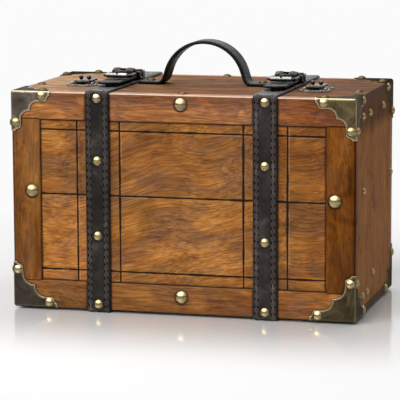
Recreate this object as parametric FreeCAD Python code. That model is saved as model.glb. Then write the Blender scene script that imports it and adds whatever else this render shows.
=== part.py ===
import FreeCAD, Part
import math
import os

os.makedirs("parts", exist_ok=True)
V = FreeCAD.Vector

# Whole case, in millimetres. X runs along the width, -Y is the front, +Z is up.
case_width = 400.0
case_depth = 220.0
case_height = 249.0
lid_depth = 88.0
parting_gap = 0.5
wood_edge_radius = 2.5
board_thickness = 10.0

# Frame and panel on the front of the lid
frame_thickness = 12.0
rail_width = 31.5
stile_width = 33.5
frame_chamfer = 1.2
panel_recess = 2.0
tongue_thickness = 4.0
tongue_length = 5.0
tongue_play = 0.3
groove_end_margin = 8.0
score_width = 1.7
score_depth = 1.4
score_strap_gaps = (-25.5, 25.0)
score_row_top = 11.5
score_row_bottom = 13.5
score_row_middle = 7.5

# Leather straps round the case
strap_thickness = 3.0
strap_width = 28.0
strap_spacing = 195.0
strap_end_gap = 1.0
strap_hinge_setback = 8.0
strap_nails_from_top = (6.5, 77.5)
strap_nails_from_bottom = (6.5, 85.5)

# Domed nails
nail_radius = 5.35
nail_height = 2.8
frame_nail_radius = 7.9
frame_nail_height = 4.6
frame_nail_top_inset = 11.5
frame_nail_bottom_inset = 18.5
frame_nail_rise = 10.0
frame_nail_stile_inset = 23.5
edge_nail_inset = 10.0
end_nail_inset = 12.0
end_nail_setback = 14.0
side_top_nail_drop = 24.0
side_bottom_nail_rise = 22.0
side_middle_nail_rise = 15.5
lid_side_front_nail_y = 40.0
lid_side_middle_nail_y = 45.0
lid_side_joint_top_y = 8.5
lid_side_joint_bottom_y = 22.0
base_side_top_nail_y = 62.5
base_side_middle_nail_y = 12.5
base_side_joint_nail_y = 12.0
base_side_joint_nail_rise = 38.5

# Corner brackets, bent from thin sheet over three faces
bracket_thickness = 1.0
bracket_leg_top = 46.0
bracket_leg_bottom = 52.0
bracket_reference_leg = 46.0
bracket_nail_inset = 5.5
bracket_nail_setback = 9.5

# Carry handle of folded leather
handle_width = 30.0
handle_thickness = 3.8
handle_height = 52.0
handle_arch_radius = 49.5
handle_leg_angle = 72.0
handle_bend_radius = 7.0
handle_strap_gap = 3.5
handle_nail_inset = 11.5
handle_setback = 27.0

# Butt hinges under the case
hinge_inset = 55.0
hinge_length = 44.0
hinge_leaf_depth = 17.0
hinge_leaf_thickness = 1.5
hinge_knuckle_radius = 2.6
hinge_pin_radius = 1.2
knuckle_side_gap = 0.3
knuckle_recess_gap = 0.5
running_clearance = 0.05

# Closing straps with their buckles, over the parting line
closing_width = 26.0
closing_thickness = 2.6
closing_reach = 50.0
closing_tip_cut = 6.0
closing_pivot_setback = 48.0
pivot_bar_radius = 1.5
pivot_ear_thickness = 1.8
pivot_ear_gap = 0.5
pivot_foot_depth = 14.0
pivot_foot_thickness = 1.2
snap_radius = 6.0
snap_thickness = 1.2
snap_gap = 0.3
snap_reach = 36.0
buckle_reach = 12.0
buckle_length = 24.0
buckle_side_gap = 1.0
buckle_corner_radius = 3.0
buckle_wire_radius = 1.6
roller_wall = 1.1
roller_side_gap = 0.3
chape_thickness = 2.2
chape_length = 25.0
chape_side_gap = 0.2
chape_slot = 6.4
chape_slot_depth = 7.0
chape_hump_radius = 4.1
chape_hump_setback = 5.5
chape_hump_drop = 0.6
chape_close_setback = 16.0
prong_radius = 1.15
prong_eye_length = 4.0
prong_overhang = 4.0
prong_rest_gap = 0.3
keeper_thickness = 1.8
keeper_length = 8.0
keeper_gap = 0.4

# Hasp latches outside the straps
latch_strap_gap = 8.5
latch_nail_gap = 26.65
latch_plate_width = 36.0
latch_plate_depth = 25.0
latch_rim = 3.0
latch_rim_thickness = 0.9
latch_step_thickness = 0.7
latch_plate_setback = 4.0
latch_pin_radius = 1.1
latch_knuckle_radius = 2.6
latch_knuckle_length = 9.0
latch_ear_length = 4.0
latch_ear_gap = 0.3
latch_pivot_setback = 17.0
hasp_thickness = 1.8
hasp_width = 15.0
hasp_head_radius = 8.5
hasp_stud_radius = 3.0
hasp_hole_gap = 0.6
hasp_knob_radius = 2.6
hasp_knob_neck_radius = 1.5
hasp_knob_rise = 3.4
hasp_knob_spacing = 9.4
hasp_knob_reach = 11.5
catch_setback = 3.0
catch_depth = 22.0
catch_width = 30.0

# Derived planes
half_width = case_width / 2
front_y = -case_depth / 2
back_y = case_depth / 2
bottom_z = strap_thickness
top_z = bottom_z + case_height
parting_y = front_y + lid_depth
lid_back_y = parting_y - parting_gap / 2
base_front_y = parting_y + parting_gap / 2
strap_top_z = top_z + strap_thickness
strap_x = strap_spacing / 2
hinge_x = half_width - hinge_inset
strap_side_x = strap_x + strap_width / 2
end_nail_x = half_width - end_nail_inset
# The latch shares the room between the strap and the end nail in the ratio of its two gaps
latch_room = end_nail_x - nail_radius - strap_side_x - latch_plate_width
latch_strap_room = latch_room * latch_strap_gap / (latch_strap_gap + latch_nail_gap)
latch_x = strap_side_x + latch_strap_room + latch_plate_width / 2
handle_y = parting_y + handle_setback
closing_tail_y = parting_y - closing_reach
closing_pivot_y = parting_y + closing_pivot_setback
snap_y = parting_y - snap_reach
buckle_front_y = parting_y - buckle_reach
buckle_half_width = closing_width / 2 + buckle_side_gap + buckle_wire_radius
buckle_straight = buckle_half_width - buckle_corner_radius
roller_length = 2 * (buckle_straight - roller_side_gap)
chape_width = 2 * (buckle_straight - chape_side_gap)
ear_in = closing_width / 2 + pivot_ear_gap
ear_out = ear_in + pivot_ear_thickness
handle_foot_end = strap_x - ear_out - handle_strap_gap

nodes = {}


def block(x0, x1, y0, y1, z0, z1):
    return Part.makeBox(x1 - x0, y1 - y0, z1 - z0, V(x0, y0, z0))


def rod(radius, start, end):
    path = end.sub(start)
    return Part.makeCylinder(radius, path.Length, start, path)


def along_x(radius, x0, x1, y, z):
    return Part.makeCylinder(radius, x1 - x0, V(x0, y, z), V(1, 0, 0))


def plate(points, direction):
    wire = Part.makePolygon(points + [points[0]])
    return Part.Face(wire).extrude(direction)


def fuse(first, *others):
    return first.multiFuse(list(others)).removeSplitter()


def oval_plate(xc, yc, width, depth, z, thickness):
    end = depth / 2
    middle = block(xc - width / 2 + end, xc + width / 2 - end, yc - end, yc + end, z, z + thickness)
    left = Part.makeCylinder(end, thickness, V(xc - width / 2 + end, yc, z))
    right = Part.makeCylinder(end, thickness, V(xc + width / 2 - end, yc, z))
    return fuse(middle, left, right)


def stepped_oval(xc, yc, width, depth):
    rim = oval_plate(xc, yc, width, depth, top_z, latch_rim_thickness)
    step = oval_plate(
        xc, yc, width - 2 * latch_rim, depth - 2 * latch_rim, top_z, latch_rim_thickness + latch_step_thickness
    )
    return fuse(rim, step)


# The outside form of the wood, every edge eased, trims each board
case_block = block(-half_width, half_width, front_y, back_y, bottom_z, top_z)
case_form = case_block.makeFillet(wood_edge_radius, case_block.Edges)


def board(x0, x1, y0, y1, z0, z1):
    return block(x0, x1, y0, y1, z0, z1).common(case_form)


# Hinge pieces: two knuckles on the base leaf, one on the lid leaf, one pin through all three
hinge_z = bottom_z
hinge_middle = hinge_length / 3
hinge_leaf_gap = parting_gap / 2
recess_radius = hinge_knuckle_radius + knuckle_recess_gap


def hinge_set(xc):
    x0 = xc - hinge_length / 2
    x1 = xc + hinge_length / 2
    m0 = xc - hinge_middle / 2
    m1 = xc + hinge_middle / 2
    z1 = bottom_z + hinge_leaf_thickness
    y_base = parting_y + hinge_leaf_gap
    y_lid = parting_y - hinge_leaf_gap
    base_leaf = block(x0, x1, y_base, parting_y + hinge_leaf_depth, bottom_z, z1)
    base_leaf = base_leaf.cut(
        along_x(recess_radius, m0 - knuckle_side_gap, m1 + knuckle_side_gap, parting_y, hinge_z)
    )
    first = along_x(hinge_knuckle_radius, x0, m0 - knuckle_side_gap, parting_y, hinge_z)
    second = along_x(hinge_knuckle_radius, m1 + knuckle_side_gap, x1, parting_y, hinge_z)
    base_leaf = fuse(base_leaf, first, second)
    base_leaf = base_leaf.cut(along_x(hinge_pin_radius, x0 - 1, x1 + 1, parting_y, hinge_z))
    lid_leaf = block(x0, x1, parting_y - hinge_leaf_depth, y_lid, bottom_z, z1)
    lid_leaf = lid_leaf.cut(along_x(recess_radius, x0 - 1, m0, parting_y, hinge_z))
    lid_leaf = lid_leaf.cut(along_x(recess_radius, m1, x1 + 1, parting_y, hinge_z))
    lid_leaf = fuse(lid_leaf, along_x(hinge_knuckle_radius, m0, m1, parting_y, hinge_z))
    bore = along_x(hinge_pin_radius + running_clearance, x0 - 1, x1 + 1, parting_y, hinge_z)
    lid_leaf = lid_leaf.cut(bore)
    pin = along_x(hinge_pin_radius, x0, x1, parting_y, hinge_z)
    return base_leaf, lid_leaf, pin


def hinge_mortise(xc):
    x0 = xc - hinge_length / 2
    x1 = xc + hinge_length / 2
    leaves = block(
        x0,
        x1,
        parting_y - hinge_leaf_depth,
        parting_y + hinge_leaf_depth,
        bottom_z,
        bottom_z + hinge_leaf_thickness,
    )
    knuckles = along_x(recess_radius, x0, x1, parting_y, hinge_z)
    return leaves.fuse(knuckles)


mortises = [hinge_mortise(-hinge_x), hinge_mortise(hinge_x)]
hinge_pins = []
for side, xc in (("left", -hinge_x), ("right", hinge_x)):
    base_leaf, lid_leaf, pin = hinge_set(xc)
    nodes["hinge_leaf_base_" + side] = base_leaf
    nodes["hinge_leaf_lid_" + side] = lid_leaf
    hinge_pins.append(pin)
nodes["hinge_pins"] = Part.makeCompound(hinge_pins)

# Base: four wall boards behind the parting line and the back board
inner_x = half_width - board_thickness
inner_top_z = top_z - board_thickness
inner_bottom_z = bottom_z + board_thickness
base_end_y = back_y - frame_thickness
nodes["base_top_board"] = board(-half_width, half_width, base_front_y, base_end_y, inner_top_z, top_z)
base_bottom = board(-half_width, half_width, base_front_y, base_end_y, bottom_z, inner_bottom_z)
nodes["base_bottom_board"] = base_bottom.cut(mortises)
nodes["base_left_board"] = board(
    -half_width, -inner_x, base_front_y, base_end_y, inner_bottom_z, inner_top_z
)
nodes["base_right_board"] = board(inner_x, half_width, base_front_y, base_end_y, inner_bottom_z, inner_top_z)
nodes["base_back_board"] = board(-half_width, half_width, base_end_y, back_y, bottom_z, top_z)

# Lid: four wall boards and the framed front
lid_start_y = front_y + frame_thickness
nodes["lid_top_board"] = board(-half_width, half_width, lid_start_y, lid_back_y, inner_top_z, top_z)
lid_bottom = board(-half_width, half_width, lid_start_y, lid_back_y, bottom_z, inner_bottom_z)
nodes["lid_bottom_board"] = lid_bottom.cut(mortises)
nodes["lid_left_board"] = board(-half_width, -inner_x, lid_start_y, lid_back_y, inner_bottom_z, inner_top_z)
nodes["lid_right_board"] = board(inner_x, half_width, lid_start_y, lid_back_y, inner_bottom_z, inner_top_z)

# Front frame: full-width rails, stiles let in between them, panel held by a tongue in a groove
field_x = half_width - stile_width
field_z0 = bottom_z + rail_width
field_z1 = top_z - rail_width
tongue_y0 = front_y + (frame_thickness - tongue_thickness) / 2
tongue_y1 = tongue_y0 + tongue_thickness
groove_x = half_width - groove_end_margin


def rail(outer_z, inner_z):
    inward = 1 if inner_z > outer_z else -1
    outline = [
        V(-half_width, front_y, outer_z),
        V(-half_width, front_y, inner_z - inward * frame_chamfer),
        V(-half_width, front_y + frame_chamfer, inner_z),
        V(-half_width, front_y + frame_thickness, inner_z),
        V(-half_width, front_y + frame_thickness, outer_z),
    ]
    body = plate(outline, V(case_width, 0, 0)).common(case_form)
    low = min(inner_z, inner_z - inward * tongue_length)
    high = max(inner_z, inner_z - inward * tongue_length)
    return body.cut(block(-groove_x, groove_x, tongue_y0, tongue_y1, low, high))


def stile(mirror):
    outline = [
        V(mirror * half_width, front_y, field_z0),
        V(mirror * (field_x + frame_chamfer), front_y, field_z0),
        V(mirror * field_x, front_y + frame_chamfer, field_z0),
        V(mirror * field_x, front_y + frame_thickness, field_z0),
        V(mirror * half_width, front_y + frame_thickness, field_z0),
    ]
    body = plate(outline, V(0, 0, field_z1 - field_z0)).common(case_form)
    groove_floor = field_x + tongue_length
    x0 = min(mirror * groove_x, mirror * groove_floor)
    x1 = max(mirror * groove_x, mirror * groove_floor)
    z0 = field_z0 - tongue_length
    z1 = field_z1 + tongue_length
    tenons = block(x0, x1, tongue_y0, tongue_y1, z0, z1)
    body = fuse(body, tenons)
    g0 = min(mirror * field_x, mirror * groove_floor)
    g1 = max(mirror * field_x, mirror * groove_floor)
    return body.cut(block(g0, g1, tongue_y0, tongue_y1, field_z0, field_z1))


nodes["lid_top_rail"] = rail(top_z, field_z1)
nodes["lid_bottom_rail"] = rail(bottom_z, field_z0)
nodes["lid_left_stile"] = stile(-1)
nodes["lid_right_stile"] = stile(1)

panel_y = front_y + panel_recess
reach = tongue_length - tongue_play
panel = block(-field_x, field_x, panel_y, front_y + frame_thickness, field_z0, field_z1)
tongue_across = block(-field_x - reach, field_x + reach, tongue_y0, tongue_y1, field_z0, field_z1)
tongue_up = block(-field_x, field_x, tongue_y0, tongue_y1, field_z0 - reach, field_z1 + reach)
panel = fuse(panel, tongue_across, tongue_up)
scores = []
for gap in score_strap_gaps:
    for mirror in (-1, 1):
        x0 = mirror * (strap_x + gap) - score_width / 2
        scores.append(
            block(x0, x0 + score_width, panel_y - 1, panel_y + score_depth, field_z0, field_z1)
        )
score_rows = (
    field_z1 - score_row_top,
    field_z0 + score_row_bottom,
    (field_z0 + field_z1) / 2 + score_row_middle,
)
for row in score_rows:
    z0 = row - score_width / 2
    scores.append(block(-field_x, field_x, panel_y - 1, panel_y + score_depth, z0, z0 + score_width))
nodes["lid_front_panel"] = panel.cut(scores)


# Leather straps: a band bent round the case, parted at the lid line and set back at the hinges
def strap_band(xc):
    t = strap_thickness
    x0 = xc - strap_width / 2
    x1 = xc + strap_width / 2
    outer = block(x0, x1, front_y - t, back_y + t, bottom_z - t, top_z + t)
    long_edges = [e for e in outer.Edges if abs(e.BoundBox.XLength - strap_width) < 1e-6]
    outer = outer.makeFillet(wood_edge_radius + t, long_edges)
    return outer.cut(case_form)


far = case_depth
for side, xc in (("left", -strap_x), ("right", strap_x)):
    band = strap_band(xc)
    x0 = xc - strap_width
    x1 = xc + strap_width
    under = block(
        x0,
        x1,
        parting_y - strap_hinge_setback,
        parting_y + strap_hinge_setback,
        bottom_z - 2 * strap_thickness,
        bottom_z + strap_thickness,
    )
    lid_zone = block(x0, x1, -far, parting_y - strap_end_gap / 2, -far, 2 * far)
    base_zone = block(x0, x1, parting_y + strap_end_gap / 2, far, -far, 2 * far)
    nodes["lid_strap_" + side] = band.common(lid_zone).cut(under)
    nodes["base_strap_" + side] = band.common(base_zone).cut(under)

# Corner brackets: one thin sheet over three faces, with a scooped and cusped inner outline
shell_block = block(
    -half_width - bracket_thickness,
    half_width + bracket_thickness,
    front_y - bracket_thickness,
    back_y + bracket_thickness,
    bottom_z - bracket_thickness,
    top_z + bracket_thickness,
)
bracket_shell = shell_block.makeFillet(wood_edge_radius + bracket_thickness, shell_block.Edges)
bracket_shell = bracket_shell.cut(case_form)


def bracket_outline(leg, place):
    k = leg / bracket_reference_leg
    m = -2 * bracket_thickness
    corner = place(m, m)
    tip_a = place(leg, m)
    tip_b = place(leg, 1.0)
    slant_a = place(leg - 4.5 * k, 11.0)
    neck_a = place(leg - 12.5 * k, 11.5)
    scoop_a = place(25.2 * k, 14.0 * k)
    cusp = place(22.5 * k, 22.5 * k)
    scoop_b = place(14.0 * k, 25.2 * k)
    neck_b = place(11.5, leg - 12.5 * k)
    slant_b = place(11.0, leg - 4.5 * k)
    tip_c = place(1.0, leg)
    tip_d = place(m, leg)
    edges = [
        Part.makeLine(corner, tip_a),
        Part.makeLine(tip_a, tip_b),
        Part.makeLine(tip_b, slant_a),
        Part.makeLine(slant_a, neck_a),
        Part.Arc(neck_a, scoop_a, cusp).toShape(),
        Part.Arc(cusp, scoop_b, neck_b).toShape(),
        Part.makeLine(neck_b, slant_b),
        Part.makeLine(slant_b, tip_c),
        Part.makeLine(tip_c, tip_d),
        Part.makeLine(tip_d, corner),
    ]
    return Part.Face(Part.Wire(edges))


def bracket(sx, sy, sz, leg):
    corner = V(sx * half_width, front_y if sy < 0 else back_y, top_z if sz > 0 else bottom_z)
    ex = V(-sx, 0, 0)
    ey = V(0, -sy, 0)
    ez = V(0, 0, -sz)
    out = 2 * bracket_thickness
    deep = out + wood_edge_radius + 2 * bracket_thickness
    prisms = []
    for u, v, n in ((ex, ez, ey), (ey, ez, ex), (ex, ey, ez)):

        def place(a, b):
            return corner + u * a + v * b - n * out

        prisms.append(bracket_outline(leg, place).extrude(n * deep))
    zone = prisms[0].multiFuse(prisms[1:])
    return bracket_shell.common(zone)


bracket_corners = []
for owner, sy in (("lid", -1), ("base", 1)):
    for level, sz, leg in (("top", 1, bracket_leg_top), ("bottom", -1, bracket_leg_bottom)):
        for side, sx in (("left", -1), ("right", 1)):
            nodes[owner + "_bracket_" + level + "_" + side] = bracket(sx, sy, sz, leg)
            bracket_corners.append((owner, sx, sy, sz, leg))


# Carry handle: one strap of even thickness, bent up from two flat feet into a leaning leg and a round arch
handle_foot_z = top_z + handle_thickness
lean = math.radians(handle_leg_angle)
lean_out = V(math.sin(lean), 0, -math.cos(lean))
lean_up = V(math.cos(lean), 0, math.sin(lean))
arch_centre = V(0, 0, top_z + handle_height - handle_arch_radius)
bend_z = handle_foot_z + handle_bend_radius
arch_start = arch_centre - lean_out * handle_arch_radius
leg_length = (arch_start.z - bend_z + handle_bend_radius * math.cos(lean)) / math.sin(lean)
leg_start = arch_start - lean_up * leg_length
bend_centre = leg_start - lean_out * handle_bend_radius
bend_half = V(math.sin(lean / 2), 0, -math.cos(lean / 2))


def strap_side(inward):
    arch_r = handle_arch_radius - inward
    bend_r = handle_bend_radius + inward
    foot = V(-handle_foot_end, 0, bend_centre.z - bend_r)
    bend_from = bend_centre - V(0, 0, bend_r)
    bend_to = bend_centre + lean_out * bend_r
    arch_from = arch_centre - lean_out * arch_r
    crown = arch_centre + V(0, 0, arch_r)
    half = [
        Part.makeLine(foot, bend_from),
        Part.Arc(bend_from, bend_centre + bend_half * bend_r, bend_to).toShape(),
        Part.makeLine(bend_to, arch_from),
    ]
    other = [edge.mirror(V(0, 0, 0), V(1, 0, 0)) for edge in half]
    arch = Part.Arc(arch_from, crown, V(-arch_from.x, 0, arch_from.z)).toShape()
    return half + [arch] + other


handle_edges = strap_side(0.0) + strap_side(handle_thickness)
for mirror in (-1, 1):
    toe = V(mirror * handle_foot_end, 0, top_z)
    handle_edges.append(Part.makeLine(toe, toe + V(0, 0, handle_thickness)))
handle_face = Part.Face(Part.Wire(Part.sortEdges(handle_edges)[0]))
handle_face.translate(V(0, handle_y - handle_width / 2, 0))
nodes["carry_handle"] = handle_face.extrude(V(0, handle_width, 0))


# Domed nails, each a cap of a sphere on its own flat base
def dome(radius, height):
    sphere = (radius * radius + height * height) / (2 * height)
    rim = V(radius, 0, 0)
    crown = V(0, 0, height)
    angle_x = radius * 0.62
    shoulder = V(angle_x, 0, height - sphere + (sphere * sphere - angle_x * angle_x) ** 0.5)
    edges = [
        Part.makeLine(V(0, 0, 0), rim),
        Part.Arc(rim, shoulder, crown).toShape(),
        Part.makeLine(crown, V(0, 0, 0)),
    ]
    face = Part.Face(Part.Wire(edges))
    return face.revolve(V(0, 0, 0), V(0, 0, 1), 360)


small_dome = dome(nail_radius, nail_height)
large_dome = dome(frame_nail_radius, frame_nail_height)


def nail(shape, position, direction):
    turn = FreeCAD.Rotation(V(0, 0, 1), direction)
    copy = shape.copy()
    copy.Placement = FreeCAD.Placement(position, turn)
    return copy


lid_nails = []
base_nails = []
for owner, sx, sy, sz, leg in bracket_corners:
    group = lid_nails if owner == "lid" else base_nails
    y_face = front_y if sy < 0 else back_y
    z_face = top_z if sz > 0 else bottom_z
    t = bracket_thickness
    near = bracket_nail_inset
    along = leg - bracket_nail_setback
    facing = [
        (along, near),
        (near, along),
    ]
    for a, b in facing:
        on_front = V(sx * (half_width - a), y_face + sy * t, z_face - sz * b)
        on_side = V(sx * (half_width + t), y_face - sy * a, z_face - sz * b)
        group.append(nail(small_dome, on_front, V(0, sy, 0)))
        group.append(nail(small_dome, on_side, V(sx, 0, 0)))
        if sz > 0 and (a > b or sy > 0):
            on_top = V(sx * (half_width - a), y_face - sy * b, top_z + t)
            group.append(nail(small_dome, on_top, V(0, 0, 1)))

strap_rows = [top_z - inset for inset in strap_nails_from_top]
strap_rows += [bottom_z + inset for inset in strap_nails_from_bottom]
for xc in (-strap_x, strap_x):
    for z in strap_rows:
        lid_nails.append(nail(small_dome, V(xc, front_y - strap_thickness, z), V(0, -1, 0)))
        base_nails.append(nail(small_dome, V(xc, back_y + strap_thickness, z), V(0, 1, 0)))

side_top_z = top_z - side_top_nail_drop
side_bottom_z = bottom_z + side_bottom_nail_rise
side_middle_z = bottom_z + case_height / 2 + side_middle_nail_rise
lid_side_nails = [
    (front_y + lid_side_front_nail_y, side_top_z),
    (front_y + lid_side_front_nail_y, side_bottom_z),
    (front_y + lid_side_middle_nail_y, side_middle_z),
    (parting_y - lid_side_joint_top_y, side_top_z),
    (parting_y - lid_side_joint_bottom_y, side_bottom_z),
]
base_side_nails = [
    (back_y - base_side_top_nail_y, side_top_z),
    (back_y - base_side_middle_nail_y, side_middle_z),
    (parting_y + base_side_joint_nail_y, bottom_z + base_side_joint_nail_rise),
]
for sx in (-1, 1):
    outward = V(sx, 0, 0)
    for y, z in lid_side_nails:
        lid_nails.append(nail(small_dome, V(sx * half_width, y, z), outward))
    for y, z in base_side_nails:
        base_nails.append(nail(small_dome, V(sx * half_width, y, z), outward))
    handle_nail = V(sx * (handle_foot_end - handle_nail_inset), handle_y, handle_foot_z)
    base_nails.append(nail(small_dome, handle_nail, V(0, 0, 1)))

for sx in (-1, 1):
    end_nail = V(sx * end_nail_x, parting_y - end_nail_setback, top_z)
    lid_nails.append(nail(small_dome, end_nail, V(0, 0, 1)))
lid_nails.append(nail(small_dome, V(0, front_y + edge_nail_inset, top_z), V(0, 0, 1)))
base_nails.append(nail(small_dome, V(0, back_y - edge_nail_inset, top_z), V(0, 0, 1)))
nodes["lid_dome_nails"] = Part.makeCompound(lid_nails)
nodes["base_dome_nails"] = Part.makeCompound(base_nails)

stile_nail_x = half_width - frame_nail_stile_inset
frame_middle_z = bottom_z + case_height / 2 + frame_nail_rise
frame_nails = [
    nail(large_dome, V(0, front_y, top_z - frame_nail_top_inset), V(0, -1, 0)),
    nail(large_dome, V(0, front_y, bottom_z + frame_nail_bottom_inset), V(0, -1, 0)),
    nail(large_dome, V(-stile_nail_x, front_y, frame_middle_z), V(0, -1, 0)),
    nail(large_dome, V(stile_nail_x, front_y, frame_middle_z), V(0, -1, 0)),
]
nodes["lid_frame_nails"] = Part.makeCompound(frame_nails)

# Closing straps: each turns on a bar on the base and reaches over the lid, held there by a snap
closing_bottom = strap_top_z + 2 * snap_thickness + snap_gap
closing_top = closing_bottom + closing_thickness
eye_bore = pivot_bar_radius + running_clearance
eye_radius = eye_bore + closing_thickness
pivot_z = closing_bottom + eye_radius
bar_z = closing_top + buckle_wire_radius + chape_thickness
buckle_rear_y = buckle_front_y + buckle_length
chape_radius = buckle_wire_radius + chape_thickness
roller_bore = buckle_wire_radius + running_clearance
roller_radius = roller_bore + roller_wall
prong_bore = buckle_wire_radius + running_clearance
prong_eye_radius = prong_bore + 2 * prong_radius * 0.55


def wire_frame(xc):
    w = buckle_half_width
    r = buckle_corner_radius
    y0 = buckle_front_y
    y1 = buckle_rear_y
    turn = r * (1 - math.cos(math.pi / 4))

    def at(x, y):
        return V(xc + x, y, bar_z)

    path = [
        Part.makeLine(at(0, y0), at(w - r, y0)),
        Part.Arc(at(w - r, y0), at(w - turn, y0 + turn), at(w, y0 + r)).toShape(),
        Part.makeLine(at(w, y0 + r), at(w, y1 - r)),
        Part.Arc(at(w, y1 - r), at(w - turn, y1 - turn), at(w - r, y1)).toShape(),
        Part.makeLine(at(w - r, y1), at(r - w, y1)),
        Part.Arc(at(r - w, y1), at(turn - w, y1 - turn), at(-w, y1 - r)).toShape(),
        Part.makeLine(at(-w, y1 - r), at(-w, y0 + r)),
        Part.Arc(at(-w, y0 + r), at(turn - w, y0 + turn), at(r - w, y0)).toShape(),
        Part.makeLine(at(r - w, y0), at(0, y0)),
    ]
    section = Part.Wire(Part.makeCircle(buckle_wire_radius, at(0, y0), V(1, 0, 0)))
    return Part.Wire(path).makePipeShell([section], True, True)


def tangent(first, first_r, second, second_r):
    # The line over the top of two circles in the YZ plane, as its two touching points
    path = second.sub(first)
    turn = math.atan2(path.z, path.y) + math.acos((first_r - second_r) / path.Length)
    side = V(0, math.cos(turn), math.sin(turn))
    return first + side * first_r, second + side * second_r


def between(centre, radius, start, end):
    middle = (start - centre) + (end - centre)
    return Part.Arc(start, centre + middle * (radius / middle.Length), end).toShape()


def folded_chape(x0, width):
    bar = V(x0, buckle_rear_y, bar_z)
    hump = V(x0, buckle_rear_y + chape_hump_setback, bar_z - chape_hump_drop)
    close = V(x0, buckle_rear_y + chape_close_setback, closing_top + chape_thickness)
    faces = []
    for grow in (chape_thickness, 0.0):
        bar_r = buckle_wire_radius + grow
        hump_r = chape_hump_radius + grow
        low = V(x0, bar.y, bar.z - bar_r)
        front = V(x0, bar.y - bar_r, bar.z)
        a, b = tangent(bar, bar_r, hump, hump_r)
        c, d = tangent(hump, hump_r, close, grow)
        edges = [
            between(bar, bar_r, low, front),
            between(bar, bar_r, front, a),
            Part.makeLine(a, b),
            between(hump, hump_r, b, c),
            Part.makeLine(c, d),
        ]
        if grow:
            rest = close + V(0, grow, 0)
            end_y = buckle_rear_y + chape_length
            edges.append(between(close, grow, d, rest))
            edges.append(Part.makeLine(rest, V(x0, end_y, close.z)))
            edges.append(Part.makeLine(V(x0, end_y, close.z), V(x0, end_y, low.z)))
            edges.append(Part.makeLine(V(x0, end_y, low.z), low))
        else:
            edges.append(Part.makeLine(close, low))
        faces.append(Part.Face(Part.Wire(edges)))
    return faces[0].cut(faces[1]).extrude(V(width, 0, 0))


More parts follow.
